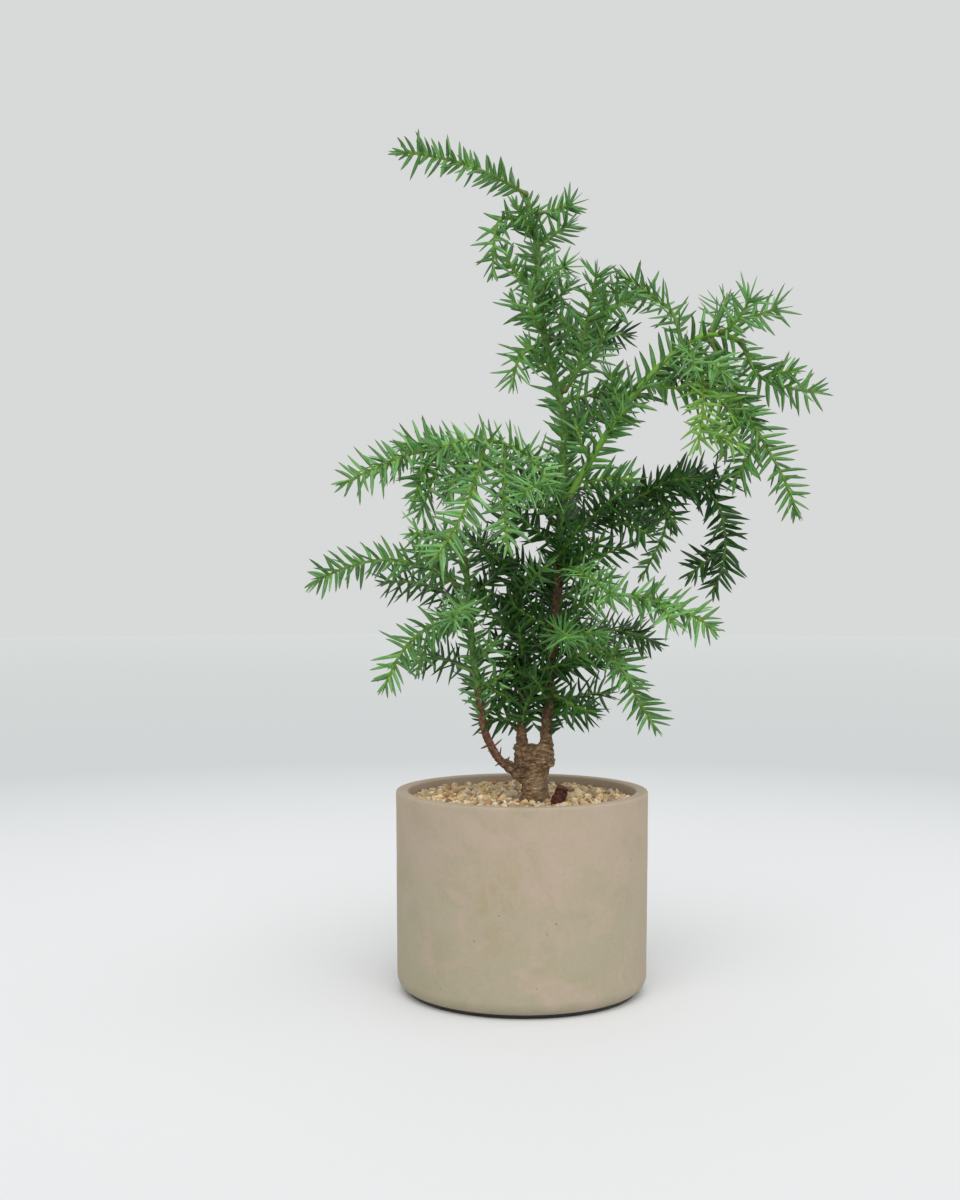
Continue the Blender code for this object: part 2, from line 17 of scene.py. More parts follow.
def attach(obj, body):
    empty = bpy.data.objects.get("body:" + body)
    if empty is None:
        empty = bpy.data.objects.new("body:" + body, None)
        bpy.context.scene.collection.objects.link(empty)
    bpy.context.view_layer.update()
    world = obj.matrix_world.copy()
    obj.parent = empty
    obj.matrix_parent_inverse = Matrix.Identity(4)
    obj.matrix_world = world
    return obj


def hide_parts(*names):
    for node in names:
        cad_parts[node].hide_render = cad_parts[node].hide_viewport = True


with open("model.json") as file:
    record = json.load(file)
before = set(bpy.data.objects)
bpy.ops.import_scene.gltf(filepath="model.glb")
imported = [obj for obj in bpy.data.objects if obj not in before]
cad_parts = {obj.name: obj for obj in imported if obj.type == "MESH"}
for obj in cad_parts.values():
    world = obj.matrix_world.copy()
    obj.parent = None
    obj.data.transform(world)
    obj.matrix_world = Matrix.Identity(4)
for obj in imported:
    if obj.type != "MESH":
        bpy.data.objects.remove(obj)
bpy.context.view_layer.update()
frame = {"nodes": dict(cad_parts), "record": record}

MM = 0.001
TAU = 2 * math.pi
BODY_OF = {
    node: body for body, nodes in frame["record"]["behaviour"]["bodies"].items() for node in nodes
}

# sizes shared with the CAD part
POT_DIAMETER = 0.126
POT_TOP = 0.100
POT_WALL = 0.0062
POT_FLOOR = 0.010
POT_DRAFT = 0.0006
BASE_ROUND = 0.007
RIM_ROUND = 0.0010
PAD_THICKNESS = 0.0012
GAP = 0.0003
GRAVEL_DROP = 0.003
GRAVEL_DEPTH = 0.010
GRAVEL_FALL = 0.002
GRAVEL_LEVEL = POT_TOP - GRAVEL_DROP
TRUNK_FOOT = Vector((0.006, -0.020, GRAVEL_LEVEL))
TRUNK_TOP = 0.0295
TRUNK_FOOT_WIDTH = 0.0132
TRUNK_WAIST_WIDTH = 0.0126
TRUNK_TOP_WIDTH = 0.0198
TRUNK_DEPTH = 0.0126
TRUNK_LEAN = 0.0015
KNUCKLE_RADIUS = 0.0017
TWIG_RADIUS = 0.0010
TWIG_TIP_RADIUS = 0.0005
LIMB_RADIUS = 0.0018
LIMB_TIP_RADIUS = 0.0011
ROUTE_STEP = 0.012
SNAG_RING_GAP = 0.0022

# --- camera -------------------------------------------------------------------------------------

CAMERA_PLACE = (-0.021, -0.820, 0.215)
CAMERA_TILT = math.radians(88.6)  # a little below level
CAMERA_LENS = 49.2

camera_data = bpy.data.cameras.new("camera")
camera_data.lens = CAMERA_LENS
camera_data.sensor_width = 36.0
camera_data.dof.use_dof = False
camera = bpy.data.objects.new("camera", camera_data)
camera.location = CAMERA_PLACE
camera.rotation_euler = (CAMERA_TILT, 0.0, 0.0)
bpy.context.scene.collection.objects.link(camera)
bpy.context.scene.camera = camera

# --- routes, as in the CAD part -----------------------------------------------------------------

# Stem routes in millimetres from the trunk's foot, and the radius at each end in metres.
STEMS = {
    "left_stem": (
        [
            (-4.5, 0, 12.5), (-10, 0, 15), (-17, -1, 20), (-22, -2, 28), (-25, -3, 36), (-27, -4, 48),
            (-29, -6, 62), (-31, -8, 79), (-32, -10, 96), (-34, -12, 116),
        ],
        0.0021, 0.0015,
    ),
    "middle_stem": (
        [
            (-6, 1, 21.5), (-6.5, 1, 30), (-6.5, 3, 40), (-6, 4, 49), (-5, 6, 62), (-6, 7, 76),
            (-8, 9, 91), (-10, 10, 106), (-12, 12, 120),
        ],
        0.0024, 0.0015,
    ),
    "leader": (
        [
            (4.5, 0, 20.5), (5, 0, 30), (6, 1, 42), (7, 2, 59), (9, 3, 79), (11, 4, 101), (12, 6, 123),
            (13, 7, 148), (14, 8, 170), (15, 9, 185), (11, 10, 202), (7, 11, 217), (4, 12, 234),
            (2, 13, 254), (1, 15, 274), (-4, 16, 297),
        ],
        0.0027, 0.0015,
    ),
}

# Sprays: name, what it sits on, how far along that in mm, its length in mm, and its heading and
# pitch in degrees at even steps from foot to tip. Heading 0 is +X, 90 is away from the front.
LIMB = (
    "right_limb", "leader", 129, 120,
    [(-18, 60), (-20, 58), (-26, 55), (-22, 49), (-24, 42), (-24, 20), (-20, -30)],
)

SPRAYS = [
    ("crown_spray", "leader", 999, 68, [(-160, 28), (-165, 20), (-165, 8), (-165, 2)]),
    ("upper_right", "leader", 181, 60, [(-35, 40), (-50, 78), (-55, 72), (-65, 62)]),
    ("upper_back", "leader", 208, 56, [(55, 15), (50, 10), (50, 0), (55, -15)]),
    ("back_high", "leader", 160, 60, [(70, 30), (75, 15), (80, -10)]),
    ("left_arch", "leader", 116, 121, [(-160, 52), (-165, 40), (-165, 8), (-165, -22), (-165, -28)]),
    ("left_arch_front", "leader", 138, 82, [(-130, 28), (-135, 20), (-140, 0), (-145, -25)]),
    ("centre_front", "leader", 128, 58, [(-105, 20), (-110, 0), (-115, -20)]),
    ("right_dark", "leader", 111, 134,
     [(15, 28), (12, 27), (12, 22), (12, 2), (25, -68), (130, -84), (175, -56)]),
    ("right_fork", "leader", 133, 104,
     [(38, 6), (30, 3), (30, 0), (28, -12), (110, -80), (165, -62), (165, -62)]),
    ("back_mid", "leader", 140, 80, [(78, -10), (82, -18), (85, -30), (88, -40)]),
    ("back_low", "leader", 84, 58, [(95, 25), (95, 5), (90, -20)]),
    ("front_right", "leader", 72, 83, [(-25, 32), (-25, 6), (-25, -20), (-35, -38)]),
    ("low_right", "leader", 46, 73,
     [(-15, 34), (-12, 28), (-12, 0), (-20, -72), (-20, -68), (-15, -56), (-15, -58)]),
    ("low_front", "leader", 56, 52, [(-85, 25), (-85, 5), (-80, -15)]),
    ("low_back", "leader", 57, 69, [(50, 15), (45, 10), (45, -10), (45, -20)]),
    ("left_mid", "left_stem", 103, 77, [(180, 38), (180, 15), (180, -15), (180, -30)]),
    ("left_mid_back", "left_stem", 92, 56, [(135, 34), (140, 20), (145, 5), (145, -12)]),
    ("left_low", "left_stem", 86, 55, [(-160, 16), (-165, -22), (-163, -42), (-158, -62), (-155, -62)]),
    ("left_top", "left_stem", 999, 44, [(-115, 35), (-125, 25), (-135, 10), (-140, -10)]),
    ("middle_front", "middle_stem", 94, 52, [(-115, 15), (-110, 15), (-105, 5)]),
    ("limb_back", "right_limb", 92, 64, [(98, 62), (115, 52), (138, 18), (145, 14), (155, 5)]),
    ("limb_right", "right_limb", 999, 50, [(20, -70), (20, -58), (5, -18), (5, -8), (5, -8)]),
    ("limb_droop", "right_limb", 106, 92, [(-28, -62), (-18, -66), (-12, -58), (-20, -62), (-30, -76)]),
    ("limb_front", "right_limb", 94, 60, [(-68, -35), (-80, -58), (-105, -65), (-120, -60)]),
    ("crown_right", "leader", 271, 18, [(5, 5), (-10, 12), (-20, 20)]),
    ("crown_left", "leader", 261, 48, [(-165, 62), (-150, 10), (-130, -72), (-110, -82), (-80, -84)]),
    ("upper_left", "leader", 214, 24, [(-125, 20), (-115, 75), (-90, 82)]),
    ("upper_left_low", "leader", 206, 33, [(-140, -20), (-135, -30), (-120, -62), (-110, -74)]),
    ("upper_front", "leader", 231, 40, [(-75, 22), (-75, 10), (-78, -10)]),
    ("upper_fork", "upper_right", 38, 24, [(-35, 25), (-30, 20), (-25, 10)]),
    ("arch_drop", "left_arch", 72, 27, [(-150, -45), (-145, -65), (-140, -75)]),
    ("arch_inner", "left_arch", 44, 34, [(140, -5), (135, -25), (130, -50)]),
    ("front_mid", "leader", 95, 52, [(-65, -10), (-65, -15), (-70, -20)]),
    ("foot_right", "leader", 28, 38, [(40, 10), (40, 5), (40, -5)]),
    ("foot_front", "leader", 32, 27, [(-50, -25), (-45, -15), (-45, -5)]),
    ("left_front", "left_stem", 90, 46, [(-95, 20), (-100, 0), (-105, -25)]),
    ("left_back", "left_stem", 62, 38, [(130, 20), (140, 5), (150, -20)]),
    ("middle_top", "middle_stem", 999, 40, [(105, 55), (90, 55), (75, 55)]),
    ("middle_left", "middle_stem", 58, 42, [(-125, 30), (-125, 30), (-120, 35)]),
    ("middle_back", "middle_stem", 48, 50, [(65, 30), (75, 35), (95, 40)]),
    ("middle_low", "middle_stem", 30, 36, [(140, 5), (135, 10), (130, 15)]),
    ("limb_top", "right_limb", 106, 34, [(70, 40), (60, 35), (65, 40)]),
    ("limb_star", "right_limb", 112, 24, [(-60, 5), (-40, 45), (-60, 58)]),
    ("limb_fill", "right_limb", 90, 38, [(-80, 0), (-85, -25), (-85, -40)]),
    ("limb_inner", "right_limb", 74, 44, [(30, -5), (25, -5), (25, 0)]),
]


def smooth_route(points, step):
    """Points about every step metres along a smooth curve through the route's own points."""
    places = [Vector(p) for p in points]
    padded = [2 * places[0] - places[1], *places, 2 * places[-1] - places[-2]]
    route = []
    for a, b, c, d in zip(padded, padded[1:], padded[2:], padded[3:]):
        count = max(1, round((c - b).length / step))
        for i in range(count):
            t = i / count
            route.append(
                0.5 * (2 * b + (c - a) * t + (2 * a - 5 * b + 4 * c - d) * t**2
                       + (3 * b - a - 3 * c + d) * t**3)
            )
    return [*route, places[-1]]


class Route:
    """A line through points, read by the distance along it."""

    def __init__(self, points, foot_radius, tip_radius):
        self.points = points
        self.marks = [0.0]
        for a, b in zip(points, points[1:]):
            self.marks.append(self.marks[-1] + (b - a).length)
        self.length = self.marks[-1]
        self.foot_radius, self.tip_radius = foot_radius, tip_radius

    def at(self, distance):
        distance = min(max(distance, 0.0), self.length)
        for i in range(len(self.points) - 1):
            if distance <= self.marks[i + 1] or i == len(self.points) - 2:
                a, b = self.points[i], self.points[i + 1]
                share = (distance - self.marks[i]) / (b - a).length
                return a.lerp(b, share), (b - a).normalized()

    def radius(self, distance):
        share = np.clip(np.asarray(distance) / self.length, 0.0, 1.0)
        return self.foot_radius + (self.tip_radius - self.foot_radius) * share


def direction(heading, pitch):
    h, p = math.radians(heading), math.radians(pitch)
    return Vector((math.cos(h) * math.cos(p), math.sin(h) * math.cos(p), math.sin(p)))


def walk(start, bends, length):
    """Points every 2 mm from start, along directions blended between the bends."""
    steps = max(2, round(length / 0.002))
    ways = [direction(*bend) for bend in bends]
    place, points = start.copy(), [start.copy()]
    for i in range(steps):
        spot = (i + 0.5) / steps * (len(ways) - 1)
        first = min(int(spot), len(ways) - 2)
        way = ways[first].lerp(ways[first + 1], spot - first).normalized()
        place = place + way * length / steps
        points.append(place.copy())
    return points


def foot_place(host, along, way):
    """The centre of a knuckle that sits on host, on the side that way points to."""
    reach = GAP + KNUCKLE_RADIUS
    if along >= host.length:
        end, tangent = host.at(host.length)
        return end + tangent * reach
    place, tangent = host.at(along)
    out = (way - tangent * way.dot(tangent)).normalized()
    return place + out * (float(host.radius(along)) + reach)


def all_routes():
    routes = {}
    for name, (points, foot_radius, tip_radius) in STEMS.items():
        places = [TRUNK_FOOT + Vector(p) * MM for p in points]
        routes[name] = Route(smooth_route(places, ROUTE_STEP), foot_radius, tip_radius)
    for name, host, along, length, bends in [LIMB, *SPRAYS]:
        start = foot_place(routes[host], along * MM, direction(*bends[0]))
        radii = (LIMB_RADIUS, LIMB_TIP_RADIUS) if name == LIMB[0] else (TWIG_RADIUS, TWIG_TIP_RADIUS)
        routes[name] = Route(walk(start, bends, length * MM), *radii)
    return routes


ROUTES = all_routes()

# --- node materials -----------------------------------------------------------------------------


def srgb(r, g, b):
    """A colour given as 0-255 screen values, in linear light."""
    def linear(v):
        v /= 255
        return v / 12.92 if v <= 0.04045 else ((v + 0.055) / 1.055) ** 2.4
    return (linear(r), linear(g), linear(b), 1.0)


class Shader:
    """A node material made line by line. Numbers and colours stay on the sockets they belong to."""

    def __init__(self, name, roughness=0.6, **uniform):
        self.material = bpy.data.materials.new(name)
        self.material.use_nodes = True
        self.tree = self.material.node_tree
        self.principled = self.tree.nodes["Principled BSDF"]
        self.principled.inputs["Roughness"].default_value = roughness
        for socket, value in uniform.items():
            self.principled.inputs[socket.replace("_", " ")].default_value = value
        self.coordinates = self.tree.nodes.new("ShaderNodeTexCoord").outputs["Object"]

    def node(self, kind, settings=None, **sockets):
        made = self.tree.nodes.new(kind)
        for key, value in (settings or {}).items():
            setattr(made, key, value)
        for key, value in sockets.items():
            self.plug(made.inputs[key.replace("_", " ")], value)
        return made

    def plug(self, socket, value):
        if isinstance(value, bpy.types.NodeSocket):
            self.tree.links.new(value, socket)
        else:
            socket.default_value = value

    def noise(self, scale, detail=4.0, rough=0.55, stretch=None, warp=0.0):
        place = self.coordinates
        if stretch is not None:
            place = self.node("ShaderNodeMapping", Vector=place, Scale=stretch).outputs["Vector"]
        return self.node(
            "ShaderNodeTexNoise", Vector=place, Scale=scale, Detail=detail, Roughness=rough,
            Distortion=warp,
        ).outputs["Fac"]

    def cells(self, scale, output="Distance"):
        return self.node("ShaderNodeTexVoronoi", Vector=self.coordinates, Scale=scale).outputs[output]

    def ramp(self, value, *stops):
        """A colour or grey ramp. Each stop is (position, colour or grey value)."""
        made = self.node("ShaderNodeValToRGB", Fac=value)
        band = made.color_ramp.elements
        while len(band) < len(stops):
            band.new(0.5)
        for element, (place, colour) in zip(band, stops):
            element.position = place
            element.color = colour if isinstance(colour, tuple) else (colour, colour, colour, 1.0)
        return made.outputs["Color"]

    def mix(self, share, first, second, blend="MIX"):
        made = self.node("ShaderNodeMix", {"data_type": "RGBA", "blend_type": blend})
        for index, value in ((0, share), (6, first), (7, second)):
            self.plug(made.inputs[index], value)
        return made.outputs[2]

    def math(self, operation, first, second, kind="ShaderNodeMath"):
        made = self.node(kind, {"operation": operation})
        for socket, value in zip(made.inputs, (first, second)):
            self.plug(socket, value)
        return made.outputs[0]

    def times(self, first, second):
        return self.math("MULTIPLY", first, second)

    def plus(self, first, second):
        return self.math("ADD", first, second)

    def attribute(self, name):
        made = self.node("ShaderNodeAttribute", {"attribute_name": name})
        split = self.node("ShaderNodeSeparateColor", Color=made.outputs["Color"])
        return (*split.outputs[:3], made.outputs["Alpha"])

    def near(self, centre, radius, stretch=(1.0, 1.0, 1.0)):
        """1 at a point and 0 beyond a distance from it."""
        kind = "ShaderNodeVectorMath"
        scaled = self.math("MULTIPLY", self.math("SUBTRACT", self.coordinates, centre, kind), stretch, kind)
        length = self.node(kind, {"operation": "LENGTH"})
        self.plug(length.inputs[0], scaled)
        made = self.node(
            "ShaderNodeMapRange", {"interpolation_type": "SMOOTHSTEP"}, Value=length.outputs["Value"],
            From_Min=0.0, From_Max=radius, To_Min=1.0, To_Max=0.0,
        )
        return made.outputs["Result"]

    def finish(self, colour, height=None, depth=0.0002, strength=0.6, roughness=None):
        self.plug(self.principled.inputs["Base Color"], colour)
        if roughness is not None:
            self.plug(self.principled.inputs["Roughness"], roughness)
        if height is not None:
            bump = self.node("ShaderNodeBump", Height=height, Distance=depth, Strength=strength)
            self.plug(self.principled.inputs["Normal"], bump.outputs["Normal"])
        return self.material


# leaf colours: foot, middle, the pale flat sides (partly glaucous bands, partly painted highlight), tip
TONES = {
    "mid": (srgb(118, 158, 52), srgb(70, 124, 46), srgb(118, 166, 106), srgb(86, 74, 40)),
    # painted light: sprays that face the front and the light get this lighter tone
    "bright": (srgb(132, 172, 58), srgb(86, 142, 60), srgb(140, 186, 130), srgb(98, 88, 48)),
    # painted shade: needles in the core and at the back get this darker tone
    "dark": (srgb(74, 108, 28), srgb(30, 76, 14), srgb(58, 104, 44), srgb(60, 52, 24)),
    "lime": (srgb(150, 178, 60), srgb(100, 152, 54), srgb(140, 186, 100), srgb(112, 112, 60)),
}


def needle_material(tone):
    foot, middle, bloom_and_highlight, tip = TONES[tone]
    s = Shader("needles_" + tone, roughness=0.42, IOR=1.45)
    along, chance, _, flat = s.attribute("leaf")
    body = s.ramp(along, (0.0, foot), (0.22, middle), (0.80, middle), (1.0, tip))
    # the pale colour on the flat sides is partly the needles' glaucous bands and partly a painted highlight
    haze = s.noise(260.0, 3.0)
    bloom_and_highlight_share = s.times(flat, s.ramp(haze, (0.30, 0.25), (0.70, 1.0)))
    fade = s.ramp(along, (0.0, 0.2), (0.25, 1.0), (0.8, 0.9), (0.97, 0.0))
    colour = s.mix(s.times(bloom_and_highlight_share, fade), body, bloom_and_highlight)
    shade = s.ramp(chance, (0.0, 0.62), (0.5, 1.0), (1.0, 1.32))
    colour = s.mix(1.0, colour, shade, "MULTIPLY")
    return s.finish(colour, s.noise(1800.0, 2.0), 0.00005, 0.5)


def twig_material(name, young, old, brown):
    """A twig that is brown at its foot and green towards its tip."""
    s = Shader(name, roughness=0.55)
    along = s.attribute("leaf")[2]
    grain = s.noise(500.0, 4.0, stretch=(1.0, 1.0, 0.35))
    green = s.mix(grain, young, old)
    wood = s.ramp(along, (0.0, 0.6), (0.08, 0.2), (0.25, 0.0))
    return s.finish(s.mix(wood, green, brown), grain, 0.00015, 0.7)


def snag_material():
    """Very dark reddish bark with faint rings."""
    s = Shader("snag_bark", roughness=0.85)
    dark, light = srgb(30, 13, 10), srgb(84, 42, 30)
    pale = (*(1.5 * v for v in light[:3]), 1.0)
    broad = s.noise(224.0, 4.0, 0.6)
    fine = s.noise(1260.0, 5.0, 0.7, stretch=(1.0, 1.0, 2.4))
    wave = s.node(
        "ShaderNodeTexWave", {"bands_direction": "Z", "wave_profile": "SAW"}, Vector=s.coordinates,
        Scale=TAU / SNAG_RING_GAP / 20, Distortion=5.0, Detail=3.0, Detail_Scale=1.6,
    )
    height = s.plus(s.times(wave.outputs["Fac"], 0.55), fine)
    tone = s.plus(s.times(height, 0.45), s.times(broad, 0.5))
    colour = s.ramp(tone, (0.38, dark), (0.60, light), (0.80, pale))
    return s.finish(colour, height, 0.0005, 0.9)


def stem_material():
    """Reddish-brown bark that turns green up the stem, by the green share in the leaf attribute."""
    s = Shader("stem_bark", roughness=0.7)
    green_share = s.attribute("leaf")[1]
    mottle = s.noise(420.0, 5.0, 0.65, warp=0.8)
    flakes = s.noise(1400.0, 4.0, 0.7, stretch=(1.0, 1.0, 0.5))
    brown = s.ramp(
        mottle, (0.34, srgb(52, 28, 20)), (0.50, srgb(104, 66, 46)), (0.68, srgb(142, 104, 76)),
    )
    green = s.ramp(mottle, (0.34, srgb(58, 92, 34)), (0.66, srgb(104, 148, 62)))
    edge = s.plus(green_share, s.times(s.math("SUBTRACT", mottle, 0.5), 1.2))
    colour = s.mix(s.ramp(edge, (0.40, 0.0), (0.60, 1.0)), brown, green)
    return s.finish(colour, s.plus(mottle, flakes), 0.0004, 0.9)


def trunk_material():
    """Rough pale-brown plates with dark cracks between them."""
    s = Shader("trunk_bark", roughness=0.9)
    broad = s.noise(130.0, 4.0, 0.6)
    mid = s.noise(420.0, 5.0, 0.68, stretch=(1.0, 1.0, 1.6), warp=0.8)
    fine = s.noise(1700.0, 5.0, 0.7)
    grooves = s.noise(230.0, 6.0, 0.75, stretch=(1.0, 1.0, 2.6), warp=1.6)
    crack = s.ramp(grooves, (0.40, 0.0), (0.52, 1.0))
    tone = s.plus(s.times(mid, 0.6), s.times(broad, 0.4))
    colour = s.ramp(
        tone, (0.36, srgb(92, 64, 40)), (0.50, srgb(150, 118, 82)), (0.64, srgb(198, 172, 134)),
    )
    colour = s.mix(s.times(s.math("SUBTRACT", 1.0, crack), 0.62), colour, srgb(62, 40, 26))
    upper = s.near((TRUNK_FOOT.x - 0.007, TRUNK_FOOT.y, TRUNK_FOOT.z + 0.018), 0.012)
    colour = s.mix(s.times(upper, 0.55), colour, srgb(74, 44, 28))
    lower = s.near((TRUNK_FOOT.x + 0.005, TRUNK_FOOT.y - 0.006, TRUNK_FOOT.z + 0.006), 0.011)
    colour = s.mix(s.times(lower, 0.32), colour, srgb(204, 180, 146))
    height = s.plus(s.times(crack, 0.6), s.plus(mid, s.times(fine, 0.5)))
    return s.finish(colour, height, 0.0007, 1.0)


def pot_material():
    s = Shader("cast_concrete", roughness=0.80, IOR=1.45)
    cloud = s.noise(16.0, 4.0, 0.6, warp=0.8)
    patch = s.noise(46.0, 5.0, 0.62, warp=0.6)
    speck = s.noise(420.0, 4.0, 0.7)
    sand = s.noise(2600.0, 3.0, 0.6)
    height_up = s.node("ShaderNodeSeparateXYZ", Vector=s.coordinates).outputs["Z"]
    level = s.plus(s.times(height_up, 8.0), s.times(cloud, 0.7))
    base = s.ramp(
        level, (0.45, srgb(163, 155, 131)), (0.75, srgb(168, 157, 135)), (1.0, srgb(174, 158, 138)),
    )
    pinkish = s.ramp(patch, (0.48, 0.0), (0.64, 0.9))
    base = s.mix(pinkish, base, srgb(177, 159, 142))
    olive = s.ramp(s.noise(40.0, 5.0, 0.65, warp=1.0), (0.50, 0.0), (0.66, 0.6))
    stain_field = s.near((-0.012, -0.062, 0.056), 0.030, (1.5, 0.6, 0.70))
    stain = s.times(s.ramp(s.noise(90.0, 6.0, 0.75, warp=1.0), (0.42, 0.0), (0.70, 0.75)), stain_field)
    base = s.mix(s.times(olive, 0.60), base, srgb(155, 147, 117))
    base = s.mix(stain, base, srgb(160, 136, 92))
    grain = s.ramp(speck, (0.25, 0.95), (0.50, 1.0), (0.80, 1.03))
    base = s.mix(1.0, base, grain, "MULTIPLY")
    base = s.mix(1.0, base, s.ramp(sand, (0.2, 0.97), (0.8, 1.02)), "MULTIPLY")
    holes = s.cells(190.0)
    rare = s.ramp(s.noise(75.0, 2.0), (0.54, 0.0), (0.60, 1.0))
    pin = s.times(s.ramp(holes, (0.040, 1.0), (0.085, 0.0)), rare)
    base = s.mix(s.times(pin, 0.75), base, srgb(88, 76, 60))
    height = s.plus(s.times(sand, 0.35), s.times(speck, 0.65))
    height = s.math("SUBTRACT", height, s.times(pin, 1.5))
    rough = s.ramp(patch, (0.3, 0.74), (0.7, 0.86))
    return s.finish(base, height, 0.00025, 0.55, rough)


def stone_material():
    """Gravel. Each grain has its own random value in the leaf attribute."""
    s = Shader("gravel_stone", roughness=0.62)
    tone, shade = s.attribute("leaf")[:2]
    colour = s.ramp(
        tone, (0.0, srgb(236, 216, 170)), (0.20, srgb(204, 158, 88)), (0.34, srgb(246, 234, 206)),
        (0.50, srgb(164, 112, 62)), (0.60, srgb(230, 202, 148)), (0.78, srgb(116, 74, 44)),
        (0.86, srgb(236, 204, 136)), (1.0, srgb(216, 206, 186)),
    )
    veins = s.noise(700.0, 5.0, 0.65, warp=1.2)
    colour = s.mix(s.times(veins, 0.25), colour, srgb(236, 220, 186))
    colour = s.mix(1.0, colour, s.ramp(shade, (0.0, 0.60), (1.0, 1.12)), "MULTIPLY")
    return s.finish(colour, s.noise(1500.0, 4.0), 0.0002, 0.7)


def sand_material():
    s = Shader("gravel_sand", roughness=0.9)
    cell = s.cells(650.0, output="Color")
    tone = s.node("ShaderNodeSeparateColor", Color=cell).outputs[0]
    colour = s.ramp(tone, (0.0, srgb(78, 54, 34)), (0.4, srgb(128, 96, 60)), (0.8, srgb(176, 146, 104)))
    return s.finish(colour, s.cells(650.0), 0.0006, 0.9)


def felt_material():
    s = Shader("black_felt", roughness=0.95, Sheen_Weight=0.4)
    fuzz = s.noise(3000.0, 4.0, 0.7)
    return s.finish(s.ramp(fuzz, (0.3, srgb(26, 26, 28)), (0.7, srgb(54, 54, 57))), fuzz, 0.0003, 0.8)


def foam_material():
    s = Shader("dry_foam", roughness=0.95)
    pores = s.cells(1400.0)
    return s.finish(s.ramp(pores, (0.0, srgb(38, 58, 36)), (0.6, srgb(92, 118, 80))), pores, 0.0004, 0.9)


def steel_material():
    s = Shader("wire_steel", roughness=0.35, Metallic=1.0)
    brushed = s.noise(1200.0, 3.0, stretch=(1.0, 1.0, 0.05))
    colour = s.ramp(brushed, (0.3, srgb(150, 150, 153)), (0.7, srgb(190, 190, 192)))
    return s.finish(colour, brushed, 0.00005, 0.4)


NEEDLES = {tone: needle_material(tone) for tone in TONES}
TWIG = twig_material("twig_skin", srgb(104, 146, 54), srgb(76, 118, 42), srgb(100, 84, 46))
LIMB_SKIN = twig_material("limb_skin", srgb(126, 172, 58), srgb(96, 150, 48), srgb(110, 130, 52))
STEM_SKIN = stem_material()
TRUNK_SKIN = trunk_material()
SNAG_SKIN = snag_material()

# --- mesh helpers -------------------------------------------------------------------------------


class Surface:
    """Vertices, faces and leaf colours gathered from several parts into one mesh."""

    def __init__(self):
        self.verts, self.faces, self.finishes, self.leaf, self.smooth = [], [], [], [], []
        self.count = 0

    def add(self, verts, faces, finish=0, leaf=(0, 0, 0, 0), smooth=True):
        verts = np.asarray(verts, float).reshape(-1, 3)
        leaf = np.broadcast_to(np.asarray(leaf, float), (len(verts), 4))
        self.verts.append(verts)
        self.leaf.append(leaf)
        for face in faces:
            self.faces.append([i + self.count for i in face])
        self.finishes += [finish] * len(faces)
        self.smooth += [smooth] * len(faces)
        self.count += len(verts)

    def make(self, name, materials):
        mesh = bpy.data.meshes.new(name)
        mesh.from_pydata(np.vstack(self.verts).tolist(), [], self.faces)
        used = sorted(set(self.finishes))
        for index in used:
            mesh.materials.append(materials[index])
        mesh.polygons.foreach_set("material_index", [used.index(index) for index in self.finishes])
        mesh.polygons.foreach_set("use_smooth", self.smooth)
        colours = mesh.color_attributes.new("leaf", "FLOAT_COLOR", "POINT")
        colours.data.foreach_set("color", np.vstack(self.leaf).astype(np.float32).ravel())
        mesh.update()
        made = bpy.data.objects.new(name, mesh)
        bpy.context.scene.collection.objects.link(made)
        return made


def lattice(rows, sides):
    """Quads between closed rows of vertices, each joined to the row after it."""
    return [
        (a + k, a + sides + k, a + sides + (k + 1) % sides, a + (k + 1) % sides)
        for a in range(0, (rows - 1) * sides, sides) for k in range(sides)
    ]


def caps(rows, sides):
    """The first row's face, and the last row's the other way round."""
    return [tuple(range(sides)), tuple((rows - 1) * sides + k for k in reversed(range(sides)))]


def unit(v):
    return v / np.linalg.norm(v, axis=-1, keepdims=True)


class Line:
    """A smooth line as arrays: places, unit ways along it, and sides carried along without twist."""

    def __init__(self, points, step=0.001):
        fine = smooth_route(points, step)
        self.places = np.array([tuple(p) for p in fine])
        gaps = np.diff(self.places, axis=0)
        self.marks = np.concatenate([[0.0], np.cumsum(np.linalg.norm(gaps, axis=1))])
        ways = unit(gaps)
        self.ways = unit(np.vstack([ways[:1], ways[:-1] + ways[1:], ways[-1:]]))
        side = np.cross(self.ways[0], (0.0, 0.0, 1.0))
        if np.linalg.norm(side) < 0.1:
            side = np.array((1.0, 0.0, 0.0))
        sides = []
        for way in self.ways:
            side = unit(side - way * side.dot(way))
            sides.append(side)
        self.sides = np.array(sides)
        self.length = self.marks[-1]

    def at(self, marks):
        """Places, ways, sides and ups at distances, which may run past either end."""
        marks = np.atleast_1d(np.asarray(marks, float))
        place, way, side = (
            np.stack([np.interp(marks, self.marks, a[:, k]) for k in range(3)], 1)
            for a in (self.places, self.ways, self.sides)
        )
        way = unit(way)
        side = unit(side - way * np.sum(side * way, 1, keepdims=True))
        beyond = marks - np.clip(marks, 0.0, self.length)
        return place + way * beyond[:, None], way, side, np.cross(side, way)


